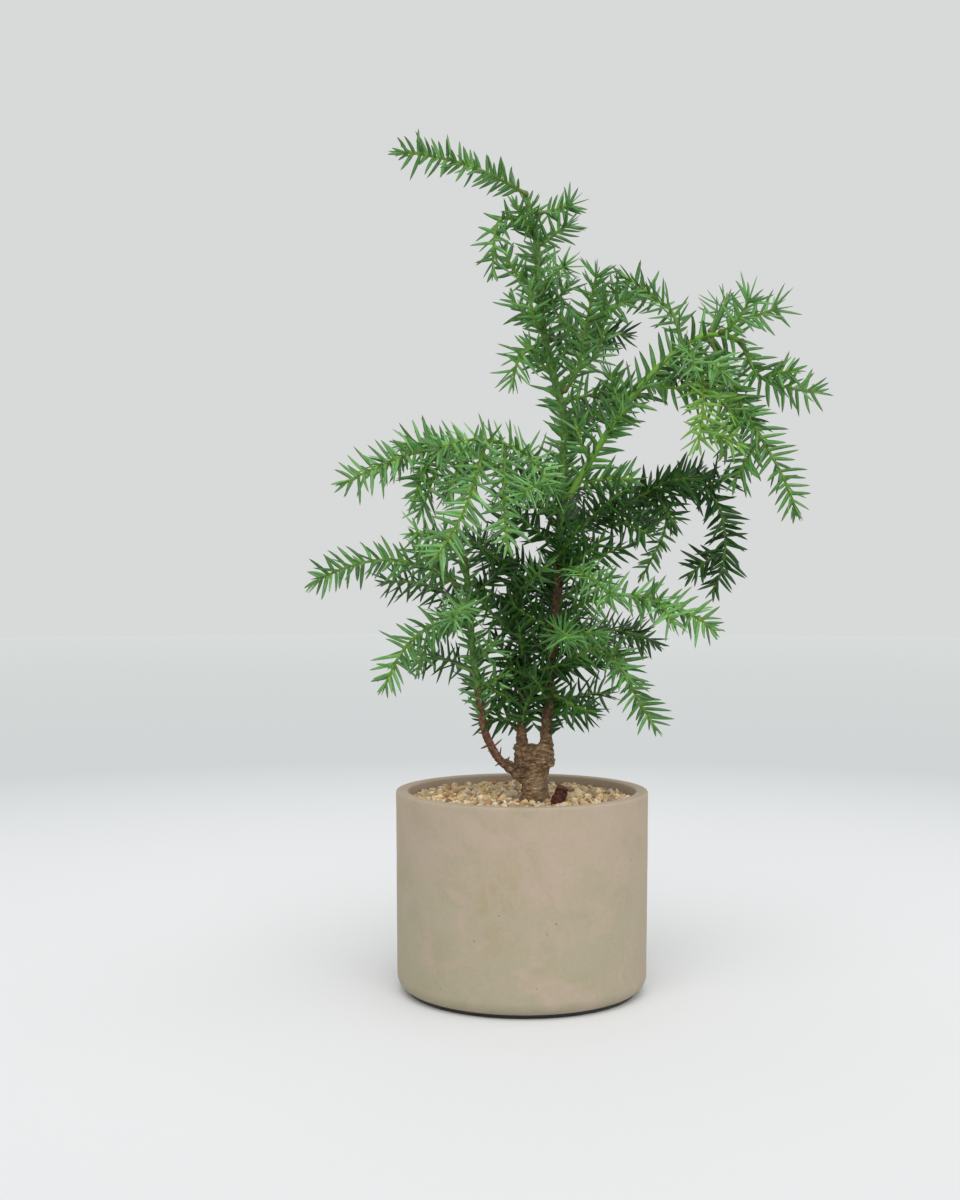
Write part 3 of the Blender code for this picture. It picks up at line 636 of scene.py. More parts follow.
def sweep(surface, line, marks, radii, sides, ripple=None):
    """A round tube along a line with its own radius at each mark, closed at both ends by a point."""
    place, way, side, up = line.at(marks)
    turns = np.arange(sides) * TAU / sides
    radii = np.asarray(radii, float)[:, None] * np.ones(sides)
    if ripple is not None:
        radii = radii + ripple(np.asarray(marks), turns)
    rings = place[:, None] + radii[..., None] * (
        side[:, None] * np.cos(turns)[None, :, None] + up[:, None] * np.sin(turns)[None, :, None]
    )
    count = len(place)
    verts = np.vstack([rings.reshape(-1, 3), place[:1], place[-1:]])
    faces = []
    for i in range(count - 1):
        a, b = i * sides, (i + 1) * sides
        faces += [(a + k, a + (k + 1) % sides, b + (k + 1) % sides, b + k) for k in range(sides)]
    last = (count - 1) * sides
    faces += [((k + 1) % sides, k, count * sides) for k in range(sides)]
    faces += [(last + k, last + (k + 1) % sides, count * sides + 1) for k in range(sides)]
    share = np.clip(np.asarray(marks) / line.length, 0, 1)
    colours = np.zeros((len(verts), 4))
    colours[: count * sides, 2] = np.repeat(share, sides)
    colours[-2:, 2] = share[0], share[-1]
    surface.add(verts, faces, leaf=colours)


RINGS = np.array((0.0, 0.24, 0.56, 0.84))  # shares of a needle's length
RING_WIDTHS = np.array((0.90, 1.0, 0.84, 0.50))  # of its width at the foot
HEEL = 0.0021  # how far a needle's foot runs back down the twig
GOLDEN_TURN = math.radians(137.5)


def needle_faces():
    faces, last = [], 4 * (len(RINGS) - 1)
    for i in range(len(RINGS) - 1):
        a, b = 4 * i, 4 * i + 4
        faces += [(a + k, a + (k + 1) % 4, b + (k + 1) % 4, b + k) for k in range(4)]
    tip = 4 * len(RINGS)
    faces += [(last + k, last + (k + 1) % 4, tip) for k in range(4)]
    faces += [((k + 1) % 4, k, tip + 1) for k in range(4)]
    return faces


NEEDLE_FACES = needle_faces()


def add_needles(surface, line, marks, turns, lengths, angles, curls, foot_radii, widths, finish, chance):
    """Flat awl-shaped needles: at each mark along the line, turned about it, leaning towards its tip.

    A positive curl bends the needle back towards the line's own direction as it runs out.
    """
    place, way, side, up = line.at(marks)
    out = side * np.cos(turns)[:, None] + up * np.sin(turns)[:, None]
    across = np.cross(way, out)
    count = len(marks)
    fine = np.linspace(0.0, 1.0, 13)
    lean = angles[:, None] + curls[:, None] * (0.45 - fine[None])
    steps = way[:, None] * np.cos(lean)[..., None] + out[:, None] * np.sin(lean)[..., None]
    run = np.concatenate(
        [np.zeros((count, 1, 3)), np.cumsum((steps[:, 1:] + steps[:, :-1]) / 2 / 12, axis=1)], axis=1
    ) * lengths[:, None, None]
    foot = place + out * (foot_radii * 0.55)[:, None]
    index = np.round(RINGS * 12).astype(int)
    centres = foot[:, None] + run[:, index]
    lean_at = lean[:, index]
    normal = -way[:, None] * np.sin(lean_at)[..., None] + out[:, None] * np.cos(lean_at)[..., None]
    wide = widths[:, None, None] * RING_WIDTHS[None, :, None] / 2
    thick = wide * 0.50
    verts = np.zeros((count, 4 * len(RINGS) + 2, 3))
    verts[:, 0 : 4 * len(RINGS) : 4] = centres + normal * wide
    verts[:, 1 : 4 * len(RINGS) : 4] = centres + across[:, None] * thick
    verts[:, 2 : 4 * len(RINGS) : 4] = centres - normal * wide
    verts[:, 3 : 4 * len(RINGS) : 4] = centres - across[:, None] * thick
    verts[:, -2] = foot + run[:, -1]
    verts[:, -1] = place - way * HEEL + out * (foot_radii * 0.9)[:, None]
    leaf = np.zeros((count, 4 * len(RINGS) + 2, 4))
    leaf[:, : 4 * len(RINGS), 0] = np.repeat(RINGS, 4)
    leaf[:, -2, 0] = 1.0
    leaf[:, 1 : 4 * len(RINGS) : 2, 3] = 1.0
    leaf[..., 1] = chance[:, None]
    leaf[..., 2] = (marks / line.length)[:, None]
    per = 4 * len(RINGS) + 2
    faces = [tuple(v + i * per for v in face) for i in range(count) for face in NEEDLE_FACES]
    surface.add(verts.reshape(-1, 3), faces, finish, leaf.reshape(-1, 4), smooth=False)


def cover_with_needles(surface, line, start, end, rng, look, radius, finish):
    """A loose spiral of needles, shorter and leaning more towards the tip, with a star there if asked."""
    count = max(3, int((end - start) / look["spacing"]))
    steps = np.arange(count)
    marks = start + (steps + rng.uniform(-0.35, 0.35, count)) * look["spacing"]
    turns = rng.uniform(0, TAU) + steps * GOLDEN_TURN + rng.normal(0, 0.28, count)
    tip = np.clip(1 - (end - marks) / 0.006, 0, 1)
    young = np.clip((marks - start) / 0.006, 0, 1)
    lengths = look["length"] * (1 + rng.normal(0, 0.12, count)) * (1 - 0.30 * tip) * (0.65 + 0.35 * young)
    angles = np.radians(look["angle"] + rng.normal(0, 9, count)) * (1 - 0.45 * tip)
    curls = np.radians(look["curl"] + rng.normal(0, 10, count))
    widths = look["width"] * (1 + rng.normal(0, 0.10, count)) * (1 - 0.15 * tip)
    add_needles(
        surface, line, marks, turns, lengths, angles, curls, radius(marks), widths, finish,
        rng.uniform(0, 1, count),
    )
    count = 9 if look["star"] else 3
    steps = np.arange(count)
    marks = end + rng.uniform(0.0, 0.0012, count)
    spread = (48, 12) if look["star"] else (20, 8)
    add_needles(
        surface, line, marks, turns[-1] + (steps + 1) * GOLDEN_TURN,
        look["length"] * (1.0 if look["star"] else 0.55) * (1 + rng.normal(0, 0.10, count)),
        np.radians(rng.normal(*spread, count)), np.radians(rng.normal(0, 8, count)), radius(marks),
        look["width"] * (1 + rng.normal(0, 0.10, count)) * 0.9, finish, rng.uniform(0, 1, count),
    )


# --- sprays -------------------------------------------------------------------------------------

DEFAULT_LOOK = {
    "tone": "mid", "spacing": 0.00088, "length": 0.0124, "angle": 64, "curl": 6, "width": 0.0018,
    "star": False,
}
# painted shade and painted light: sprays in the core and at the back take the darker needle tone, sprays
# facing the front and the light the lighter one
PAINTED_SHADE_LOOK, PAINTED_LIGHT_LOOK = {"tone": "dark"}, {"tone": "bright"}
PAINTED_SHADE_SPRAYS = (
    "back_mid", "back_low", "back_high", "low_back", "middle_back", "middle_low", "middle_left",
    "middle_top", "middle_front", "foot_right", "foot_front", "left_back", "left_mid_back",
    "arch_inner", "upper_back", "limb_inner",
)
PAINTED_LIGHT_STARS = (
    "front_mid", "centre_front", "left_arch_front", "left_front", "upper_front", "limb_star",
)
LOOKS = {
    **{name: PAINTED_SHADE_LOOK for name in PAINTED_SHADE_SPRAYS},
    "crown_spray": {"length": 0.0105, "spacing": 0.00080},
    "crown_right": {"length": 0.0105, "star": True},
    "crown_left": {"length": 0.0105, "spacing": 0.0010},
    # the darker tone of this spray is painted shade
    "right_dark": {"tone": "dark", "length": 0.0132, "spacing": 0.00085, "width": 0.0020},
    "right_fork": {"length": 0.0085, "width": 0.0016, "spacing": 0.00095},
    "upper_right": {"star": True},
    "front_right": PAINTED_LIGHT_LOOK,
    "left_arch": PAINTED_LIGHT_LOOK,
    "left_top": PAINTED_LIGHT_LOOK,
    "limb_fill": PAINTED_LIGHT_LOOK,
    "limb_front": {"tone": "lime"},
    **{name: {**PAINTED_LIGHT_LOOK, "star": True} for name in PAINTED_LIGHT_STARS},
}

# Side shoots that belong to a spray or a stem, by host: mm along it, length in mm, changes of look,
# bends.
# shoots in the core and at the back get the darker needle tone, painted shade; shoots facing the front get
# the lighter one, painted light
SHOOTS = {
    "leader": [
        (226, 20, {}, [(-20, 0), (-30, 30), (-40, 60)]),
        (234, 28, {"length": 0.0095}, [(-170, 10), (-165, 50), (-160, 82)]),
        (196, 28, {}, [(20, 30), (10, 50)]), (176, 44, {}, [(-25, 14), (-20, 4), (-15, -10)]),
        (158, 36, {}, [(-10, 35), (-10, 45)]), (136, 26, PAINTED_SHADE_LOOK, [(-178, 10), (-170, 0)]),
        (262, 22, {"length": 0.0105}, [(-120, 20), (-130, 45)]),
        (254, 20, {"length": 0.0115, "star": True}, [(-10, 30), (-15, 40), (-20, 20)]),
        (214, 24, {}, [(175, 30), (170, 60)]), (190, 22, {}, [(-160, 35), (-150, 65)]),
        (98, 32, PAINTED_SHADE_LOOK, [(-75, 30), (-70, 30)]), (88, 34, PAINTED_SHADE_LOOK, [(-40, 40), (-35, 35)]),
        (58, 32, PAINTED_SHADE_LOOK, [(-60, 30), (-65, 25)]), (28, 28, PAINTED_SHADE_LOOK, [(-110, 35), (-120, 35)]),
        (120, 30, {}, [(-120, 30), (-125, 25)]), (112, 36, PAINTED_SHADE_LOOK, [(75, 25), (70, 5)]),
        (104, 34, PAINTED_SHADE_LOOK, [(-155, 30), (-150, 40)]), (92, 38, PAINTED_SHADE_LOOK, [(8, 25), (5, 15)]),
        (84, 34, PAINTED_SHADE_LOOK, [(150, 30), (150, 25)]), (78, 32, {}, [(-30, 30), (-20, 15)]),
        (70, 34, PAINTED_SHADE_LOOK, [(95, 30), (95, 15)]), (64, 30, PAINTED_SHADE_LOOK, [(-170, 25), (-165, 35)]),
        (50, 34, PAINTED_SHADE_LOOK, [(20, 25), (20, 5)]), (42, 26, PAINTED_SHADE_LOOK, [(0, 20), (-5, 5)]),
        (34, 26, PAINTED_SHADE_LOOK, [(-160, 30), (-165, 30)]), (22, 24, PAINTED_SHADE_LOOK, [(10, 5), (0, -5)]),
    ],
    "middle_stem": [
        (18, 22, PAINTED_SHADE_LOOK, [(-165, 10), (-170, 0), (-170, -20)]), (14, 26, PAINTED_SHADE_LOOK, [(-90, 50), (-20, 60)]),
        (26, 22, PAINTED_SHADE_LOOK, [(-140, 20), (-150, 30)]), (46, 30, PAINTED_SHADE_LOOK, [(-100, 35), (-95, 45)]),
        (30, 34, PAINTED_SHADE_LOOK, [(-150, 55), (-160, 70), (-170, 60)]), (40, 26, PAINTED_SHADE_LOOK, [(-40, 20), (-30, 10)]),
        (52, 34, PAINTED_SHADE_LOOK, [(20, 35), (15, 40)]), (62, 34, PAINTED_SHADE_LOOK, [(-150, 40), (-155, 45)]),
        (72, 34, PAINTED_SHADE_LOOK, [(60, 40), (50, 40)]), (80, 32, {}, [(-60, 30), (-50, 30)]),
        (88, 34, PAINTED_SHADE_LOOK, [(160, 40), (165, 45)]),
    ],
    "left_stem": [
        (66, 22, {}, [(-60, 35), (-50, 25)]), (52, 18, {"length": 0.0095}, [(-20, 30), (-15, 30)]),
        # the darker tone of this shoot is painted shade
        (40, 16, {"tone": "dark", "length": 0.0090}, [(10, 30), (0, 20)]),
        (84, 40, {"length": 0.0080, "width": 0.0015}, [(165, 15), (-175, -50), (-160, -80)]),
        (96, 30, PAINTED_SHADE_LOOK, [(30, 40), (20, 45)]), (108, 28, {}, [(100, 45), (110, 40)]),
    ],
    "upper_right": [
        (12, 42, PAINTED_LIGHT_LOOK, [(5, 25), (-40, 80), (-150, 80)]), (28, 24, {}, [(160, 30), (150, 60)]),
    ],
    "upper_back": [
        (26, 26, {}, [(0, 10), (0, -10)]),
    ],
    "right_limb": [
        (50, 20, {"star": True}, [(150, 60), (130, 78)]), (64, 34, {}, [(-5, 5), (-5, -12), (-5, -20)]),
        (20, 22, {}, [(-170, 60), (-170, 80)]), (34, 24, {}, [(-60, 35), (-50, 40)]),
        (8, 30, {}, [(-10, 10), (-5, -5)]), (82, 30, PAINTED_SHADE_LOOK, [(10, -10), (0, -35)]),
    ],
    "right_dark": [
        (12, 30, {}, [(-60, 40), (-40, 20)]), (112, 22, {}, [(170, -20), (175, -45)]),
        (20, 30, {}, [(-40, -10), (-40, -30)]), (40, 34, {}, [(-20, 35), (-10, 20), (0, -10)]),
        (56, 30, {}, [(40, 30), (20, 0)]), (30, 32, {}, [(60, -5), (50, -30)]),
        (48, 26, {}, [(-60, -30), (-50, -60)]), (76, 24, {}, [(-80, 20), (-30, 10)]),
    ],
    "right_fork": [
        (34, 30, {}, [(-30, -20), (-25, -50)]), (62, 26, {}, [(165, -40), (160, -70)]),
    ],
    "left_arch": [
        (44, 46, {}, [(-172, 30), (-176, 10), (-178, -8)]), (56, 32, {}, [(-110, -30), (-115, -60)]),
        (84, 26, {}, [(150, -10), (150, -30)]), (66, 36, {}, [(-150, -55), (-145, -68), (-150, -60)]),
    ],
    "left_arch_front": [
        (52, 66, {"length": 0.0148}, [(-110, -50), (-150, -72), (-160, -60), (180, -52)]),
        (40, 54, {}, [(-95, -45), (-90, -80), (-40, -80)]), (28, 30, {}, [(-60, -20), (-60, -55)]),
    ],
    "left_mid": [
        (14, 26, {}, [(-100, 30), (-130, 30)]),
    ],
    "left_low": [
        (8, 26, {"length": 0.0105}, [(-100, 10), (-80, 5)]),
    ],
    "front_right": [
        (34, 20, {}, [(0, -15), (0, -35)]), (48, 24, {}, [(-70, -20), (-60, -45)]),
    ],
    "low_right": [
        (22, 26, {}, [(-55, -20), (-50, -50)]),
    ],
    "low_back": [
        (42, 26, {}, [(10, -5), (0, -30)]),
    ],
    "low_front": [
        (22, 22, {}, [(-20, 10), (-20, -10)]),
    ],
    "limb_droop": [
        (34, 28, {}, [(-130, -50), (-140, -70)]), (20, 30, {}, [(40, -60), (10, -50)]),
        (52, 26, {}, [(150, -50), (160, -65)]),
    ],
    "limb_front": [
        (24, 24, {}, [(10, -35), (0, -60)]), (48, 22, {}, [(10, -20), (10, -30)]),
    ],
    "limb_star": [
        (12, 20, {"star": True}, [(10, 5), (10, 30)]),
    ],
    "limb_fill": [
        (16, 26, {}, [(-20, -20), (-20, -50)]),
    ],
    "limb_right": [
        (20, 18, {}, [(-40, 15), (-30, 0)]),
    ],
    "limb_back": [
        (30, 24, {}, [(150, 45), (165, 25)]),
    ],
}


def twig_ripple(rng, size):
    """Low leaf cushions on a twig."""
    phase = rng.uniform(0, TAU)

    def ripple(marks, turns):
        return size * np.sin(marks[:, None] / 0.0017 * TAU + 2 * turns[None] + phase)
    return ripple


PALETTE = list(TONES)
# the marks and radii of a twig's first rings: a knuckle, the limb's knuckle, a side shoot inside its host
KNUCKLE_MARKS = [-0.0016, -0.0011, 0.0, 0.0009, 0.0016, 0.0024]
KNUCKLE = (KNUCKLE_MARKS, [0.0006, 0.0013, 0.0017, 0.00155, 0.00125, 0.0011])
LIMB_KNUCKLE = (KNUCKLE_MARKS, [0.0006, 0.0013, 0.0017, 0.0018, 0.0018, 0.0018])
SHOOT_FOOT = ([0.0, 0.0012, 0.0024], [0.0007] * 3)
SHOOT_RADIUS = TWIG_RADIUS * 0.85
RINGS_FROM, RING_STEP = 0.0036, 0.0009  # where a twig's even rings start, and how far apart they are
SPRAY_NEEDLES_FROM, SHOOT_NEEDLES_FROM = 0.0042, 0.0034
TWIG_SIDES, LIMB_SIDES = 10, 14
TIP_SHARE = 0.25  # of a needle's length: how far before the tip the last ring of full needles stands


def add_spray(surface, route, look, rng, foot, start):
    """A needled twig: foot gives the marks and radii of its first rings, start its first needles."""
    line = Line(route.points)
    marks = np.arange(RINGS_FROM, line.length, RING_STEP)
    sweep(
        surface, line, [*foot[0], *marks, line.length + 0.0006],
        [*foot[1], *route.radius(marks), 0.00025], TWIG_SIDES, twig_ripple(rng, 0.00008),
    )
    cover_with_needles(
        surface, line, start, line.length - look["length"] * TIP_SHARE, rng, look, route.radius,
        1 + PALETTE.index(look["tone"]),
    )


def add_shoots(surface, host, base_look, rng):
    """Every side shoot of host, starting inside its twig."""
    for along, length, changes, bends in SHOOTS.get(host, []):
        start = ROUTES[host].at(along * MM)[0]
        look = {**base_look, "star": False, **changes}
        route = Route(walk(start, bends, length * MM), SHOOT_RADIUS, TWIG_TIP_RADIUS)
        add_spray(surface, route, look, rng, SHOOT_FOOT, SHOOT_NEEDLES_FROM)


def make_spray(name):
    look = {**DEFAULT_LOOK, **LOOKS.get(name, {})}
    rng = np.random.default_rng(sum(ord(c) * (i + 7) for i, c in enumerate(name)))
    surface = Surface()
    add_spray(surface, ROUTES[name], look, rng, KNUCKLE, SPRAY_NEEDLES_FROM)
    add_shoots(surface, name, look, rng)
    made = surface.make(name + "_foliage", [TWIG, *(NEEDLES[tone] for tone in PALETTE)])
    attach(made, BODY_OF[name])
    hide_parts(name)


for spray in SPRAYS:
    make_spray(spray[0])


# --- limb ---------------------------------------------------------------------------------------


LIMB_LOOK = {**DEFAULT_LOOK, "spacing": 0.00125, "length": 0.0145, "curl": -10, "width": 0.0022}
LIMB_NEEDLES_FROM = 0.010


def make_limb():
    name = LIMB[0]
    rng = np.random.default_rng(11)
    route = ROUTES[name]
    line = Line(route.points)
    surface = Surface()
    marks = np.arange(RINGS_FROM, line.length, RING_STEP)
    sweep(
        surface, line, [*LIMB_KNUCKLE[0], *marks, line.length],
        [*LIMB_KNUCKLE[1], *route.radius(marks), 0.0009], LIMB_SIDES, twig_ripple(rng, 0.00014),
    )
    cover_with_needles(surface, line, LIMB_NEEDLES_FROM, line.length, rng, LIMB_LOOK, route.radius, 1)
    add_shoots(surface, name, DEFAULT_LOOK, rng)
    made = surface.make(name + "_foliage", [LIMB_SKIN, *(NEEDLES[tone] for tone in PALETTE)])
    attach(made, BODY_OF[name])
    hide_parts(name)


make_limb()

# --- stems --------------------------------------------------------------------------------------

# in metres along each stem: where its needles start, and where its bark turns green and over what length
GREEN_FROM = {"left_stem": 0.038, "middle_stem": 0.012, "leader": 0.012}
TURNS_GREEN = {"left_stem": (0.052, 0.030), "middle_stem": (0.034, 0.020), "leader": (0.095, 0.040)}
# the darker needle tone low on the middle stem and the leader is painted shade in the core; above
# LIGHTER_ABOVE the needles take the mid tone
STEM_LOOKS = {
    "left_stem": {"length": 0.0088},
    "middle_stem": {"length": 0.0110, "tone": "dark", "spacing": 0.00070},
    "leader": {"length": 0.0115, "tone": "dark", "spacing": 0.00070},
}
LIGHTER_ABOVE = 0.120  # metres along a stem
STEM_SIDES, STEM_STEP = 20, 0.0006
STUB_STEP = 0.0021
STEM_SEEDS = {"left_stem": 3, "middle_stem": 4, "leader": 5}


def make_stem(name):
    rng = np.random.default_rng(STEM_SEEDS[name])
    route = ROUTES[name]
    line = Line(route.points)
    start = GREEN_FROM[name]
    marks = np.arange(0.0, line.length + STEM_STEP / 2, STEM_STEP)
    seed = Vector((rng.uniform(0, 50), 0, 0))

    def ripple(at, turns):
        place, _, side, up = line.at(at)
        rows = []
        for i in range(len(at)):
            rows.append([
                0.00022 * noise.noise(seed + Vector(
                    place[i] * 420 + (side[i] * math.cos(a) + up[i] * math.sin(a)) * 1.1
                )) + 0.00010 * math.sin(at[i] / 0.0021 * TAU + 2 * a)
                for a in turns
            ])
        return np.array(rows)

    bark, green = Surface(), Surface()
    sweep(bark, line, marks, route.radius(marks), STEM_SIDES, ripple)
    turn_green, fade = TURNS_GREEN[name]
    rings = np.append(np.repeat(marks, STEM_SIDES), (0.0, line.length))
    share = np.clip((rings - turn_green) / fade + 0.5, 0, 1)
    bark.leaf[0] = np.column_stack([bark.leaf[0][:, 0], share, bark.leaf[0][:, 2:]])
    stubs = np.arange(0.012, start + 0.010, STUB_STEP)
    count = len(stubs)
    add_needles(
        bark, line, stubs, np.cumsum(np.full(count, math.radians(138))) + rng.normal(0, 0.2, count),
        rng.uniform(0.0030, 0.0062, count), np.radians(rng.uniform(50, 90, count)),
        np.radians(rng.uniform(-10, 20, count)), route.radius(stubs), rng.uniform(0.0008, 0.0013, count),
        0, np.zeros(count),
    )
    made = bark.make(name + "_bark", [STEM_SKIN])
    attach(made, BODY_OF[name])
    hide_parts(name)

    look = {**DEFAULT_LOOK, **STEM_LOOKS[name]}
    # needles low on the stem keep the stem's look, painted shade in the core for two stems; higher up they
    # take the mid tone
    upper = {**look, "tone": "mid"}
    middle = min(max(start, LIGHTER_ABOVE), line.length - 0.004)
    for low, high, part in ((start, middle, look), (middle, line.length - 0.002, upper)):
        if high - low > 0.004:
            finish = 1 + PALETTE.index(part["tone"])
            cover_with_needles(green, line, low, high, rng, part, route.radius, finish)
    add_shoots(green, name, DEFAULT_LOOK, rng)
    leaves = green.make(name + "_needles", [TWIG, *(NEEDLES[tone] for tone in PALETTE)])
    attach(leaves, BODY_OF[name])


for stem in STEMS:
    make_stem(stem)

# --- trunk and snag -----------------------------------------------------------------------------


def add_solid(bm, rings, sides=32):
    """Stacked oval rings (x, y, z, half width, half depth), closed at both ends."""
    loops = []
    for x, y, z, wide, deep in rings:
        loops.append([
            bm.verts.new((x + wide * math.cos(TAU * k / sides), y + deep * math.sin(TAU * k / sides), z))
            for k in range(sides)
        ])
    for low, high in zip(loops, loops[1:]):
        for k in range(sides):
            bm.faces.new((low[k], low[(k + 1) % sides], high[(k + 1) % sides], high[k]))
    bm.faces.new(loops[0][::-1])
    bm.faces.new(loops[-1])


def add_tapered(bm, points, radii, sides=20):
    """A tube through points, closed at both ends."""
    surface = Surface()
    line = Line(points, 0.0008)
    marks = np.linspace(0, line.length, 16)
    sweep(surface, line, marks, np.interp(marks, np.linspace(0, line.length, len(radii)), radii), sides)
    verts = [bm.verts.new(v) for v in np.vstack(surface.verts)]
    for face in surface.faces:
        bm.faces.new([verts[i] for i in face])


def remeshed(bm, name, voxel, smoothing):
    """One closed skin round the solids in bm."""
    mesh = bpy.data.meshes.new(name)
    bm.to_mesh(mesh)
    bm.free()
    holder = bpy.data.objects.new(name, mesh)
    bpy.context.scene.collection.objects.link(holder)
    skin = holder.modifiers.new("skin", "REMESH")
    skin.mode = "VOXEL"
    skin.voxel_size = voxel
    soften = holder.modifiers.new("soften", "SMOOTH")
    soften.iterations = smoothing
    bpy.context.view_layer.update()
    made = bpy.data.meshes.new_from_object(holder.evaluated_get(bpy.context.evaluated_depsgraph_get()))
    made.name = name
    holder.modifiers.clear()
    holder.data = made
    return holder


def displace(item, amount):
    """Moves each vertex along its normal by amount(place, normal)."""
    mesh = item.data
    moves = [v.normal * amount(v.co, v.normal) for v in mesh.vertices]
    for vertex, move in zip(mesh.vertices, moves):
        vertex.co += move
    mesh.update()


def finish_bark(item, skin):
    item.data.polygons.foreach_set("use_smooth", [True] * len(item.data.polygons))
    item.data.materials.clear()
    item.data.materials.append(skin)
    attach(item, "root")


# where the trunk swells round a stem: the stem, how far along it, and how much wider at its foot
TRUNK_COLLARS = (
    ("left_stem", 0.013, 0.0020), ("middle_stem", 0.012, 0.0019), ("leader", 0.014, 0.0022),
)
TRUNK_VOXEL, SNAG_VOXEL = 0.00036, 0.0003
BARK_RING_GAP = 0.0027


def make_trunk():
    heights, half_widths = zip(
        (-GRAVEL_DEPTH, TRUNK_FOOT_WIDTH * 0.46), (-0.001, TRUNK_FOOT_WIDTH * 0.52),
        (0.004, TRUNK_WAIST_WIDTH * 0.5), (0.010, TRUNK_WAIST_WIDTH * 0.53),
        (0.016, TRUNK_TOP_WIDTH * 0.39), (0.022, TRUNK_TOP_WIDTH * 0.44),
        (0.0265, TRUNK_TOP_WIDTH * 0.46), (TRUNK_TOP, TRUNK_TOP_WIDTH * 0.36),
    )
    bm = bmesh.new()
    rings = []
    for z in np.linspace(-GRAVEL_DEPTH, TRUNK_TOP - 0.002, 28):
        wide = np.interp(z, heights, half_widths)
        shift = -TRUNK_LEAN * max(0.0, z) / TRUNK_TOP
        rings.append((
            TRUNK_FOOT.x + shift, TRUNK_FOOT.y, TRUNK_FOOT.z + z, wide, min(wide, TRUNK_DEPTH / 2),
        ))
    add_solid(bm, rings)
    for name, reach, grow in TRUNK_COLLARS:
        route = ROUTES[name]
        points = [route.at(d)[0] for d in np.linspace(0.0, reach, 6)]
        first = points[0] + (points[0] - points[1]) * 1.2
        swell = [grow, grow * 0.9, grow * 0.6, grow * 0.25, 0.0001]
        add_tapered(bm, [first, *points], [route.foot_radius + more for more in swell])
    trunk = remeshed(bm, "trunk_bark", TRUNK_VOXEL, 5)

    def bark(place, normal):
        z = place.z - TRUNK_FOOT.z
        swirl = noise.noise(place * 110) * 0.004
        upper = min(1.0, max(0.0, (z - 0.010) / 0.008))
        ring = math.sin((z + swirl) / BARK_RING_GAP * TAU) * (0.6 + noise.noise(place * 190))
        ridges = noise.turbulence(Vector((place.x * 170, place.y * 170, place.z * 420)), 4, True)
        return (
            upper * 0.00025 * ring * max(0.0, 1 - abs(normal.z)) + 0.00110 * (0.45 - ridges)
            + 0.00050 * noise.noise(place * 330) + 0.00060 * noise.noise(place * 120)
        )

    displace(trunk, bark)
    finish_bark(trunk, TRUNK_SKIN)
    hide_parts("trunk")


def make_snag():
    foot = TRUNK_FOOT + Vector((8.8, -5.0, -4.0)) * MM
    tip = TRUNK_FOOT + Vector((13.4, -5.5, 7.4)) * MM
    bm = bmesh.new()
    points = [foot.lerp(tip, s) for s in (0.0, 0.35, 0.6, 0.82, 1.0)]
    add_tapered(bm, points, [r * MM for r in (2.8, 3.4, 3.1, 3.2, 2.6)])
    snag = remeshed(bm, "snag_bark", SNAG_VOXEL, 2)
    displace(snag, lambda p, n: 0.0011 * noise.noise(p * 330) + 0.0006 * noise.noise(p * 800))
    finish_bark(snag, SNAG_SKIN)
    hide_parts("snag")


make_trunk()
make_snag()

# --- pot ----------------------------------------------------------------------------------------


def arc(centre, radius, start, end, steps):
    turns = [math.radians(start + (end - start) * i / steps) for i in range(steps + 1)]
    return [(centre[0] + radius * math.cos(a), centre[1] + radius * math.sin(a)) for a in turns]


PITS = [  # place on the wall as turn from the front in degrees, height, radius, depth
    (-16.5, 0.0382, 0.00085, 0.0008), (-3.0, 0.0881, 0.00055, 0.0005), (-46.0, 0.0704, 0.0006, 0.0005),
    (-1.0, 0.0962, 0.0006, 0.0005), (22.0, 0.0320, 0.0004, 0.0004), (36.0, 0.0750, 0.0005, 0.0004),
    (-39.0, 0.0640, 0.0005, 0.0005), (-42.0, 0.0610, 0.0004, 0.0004), (-36.0, 0.0596, 0.0004, 0.0004),
    (-20.0, 0.0555, 0.0004, 0.0004), (4.0, 0.0715, 0.0005, 0.0004), (11.0, 0.0700, 0.0004, 0.0004),
    (-6.0, 0.0300, 0.0005, 0.0004), (20.0, 0.0800, 0.0004, 0.0004), (-28.0, 0.0860, 0.0004, 0.0004),
    (120.0, 0.0620, 0.0007, 0.0006), (170.0, 0.0450, 0.0006, 0.0005), (-130.0, 0.0780, 0.0006, 0.0005),
]


POT_SIDES = 320


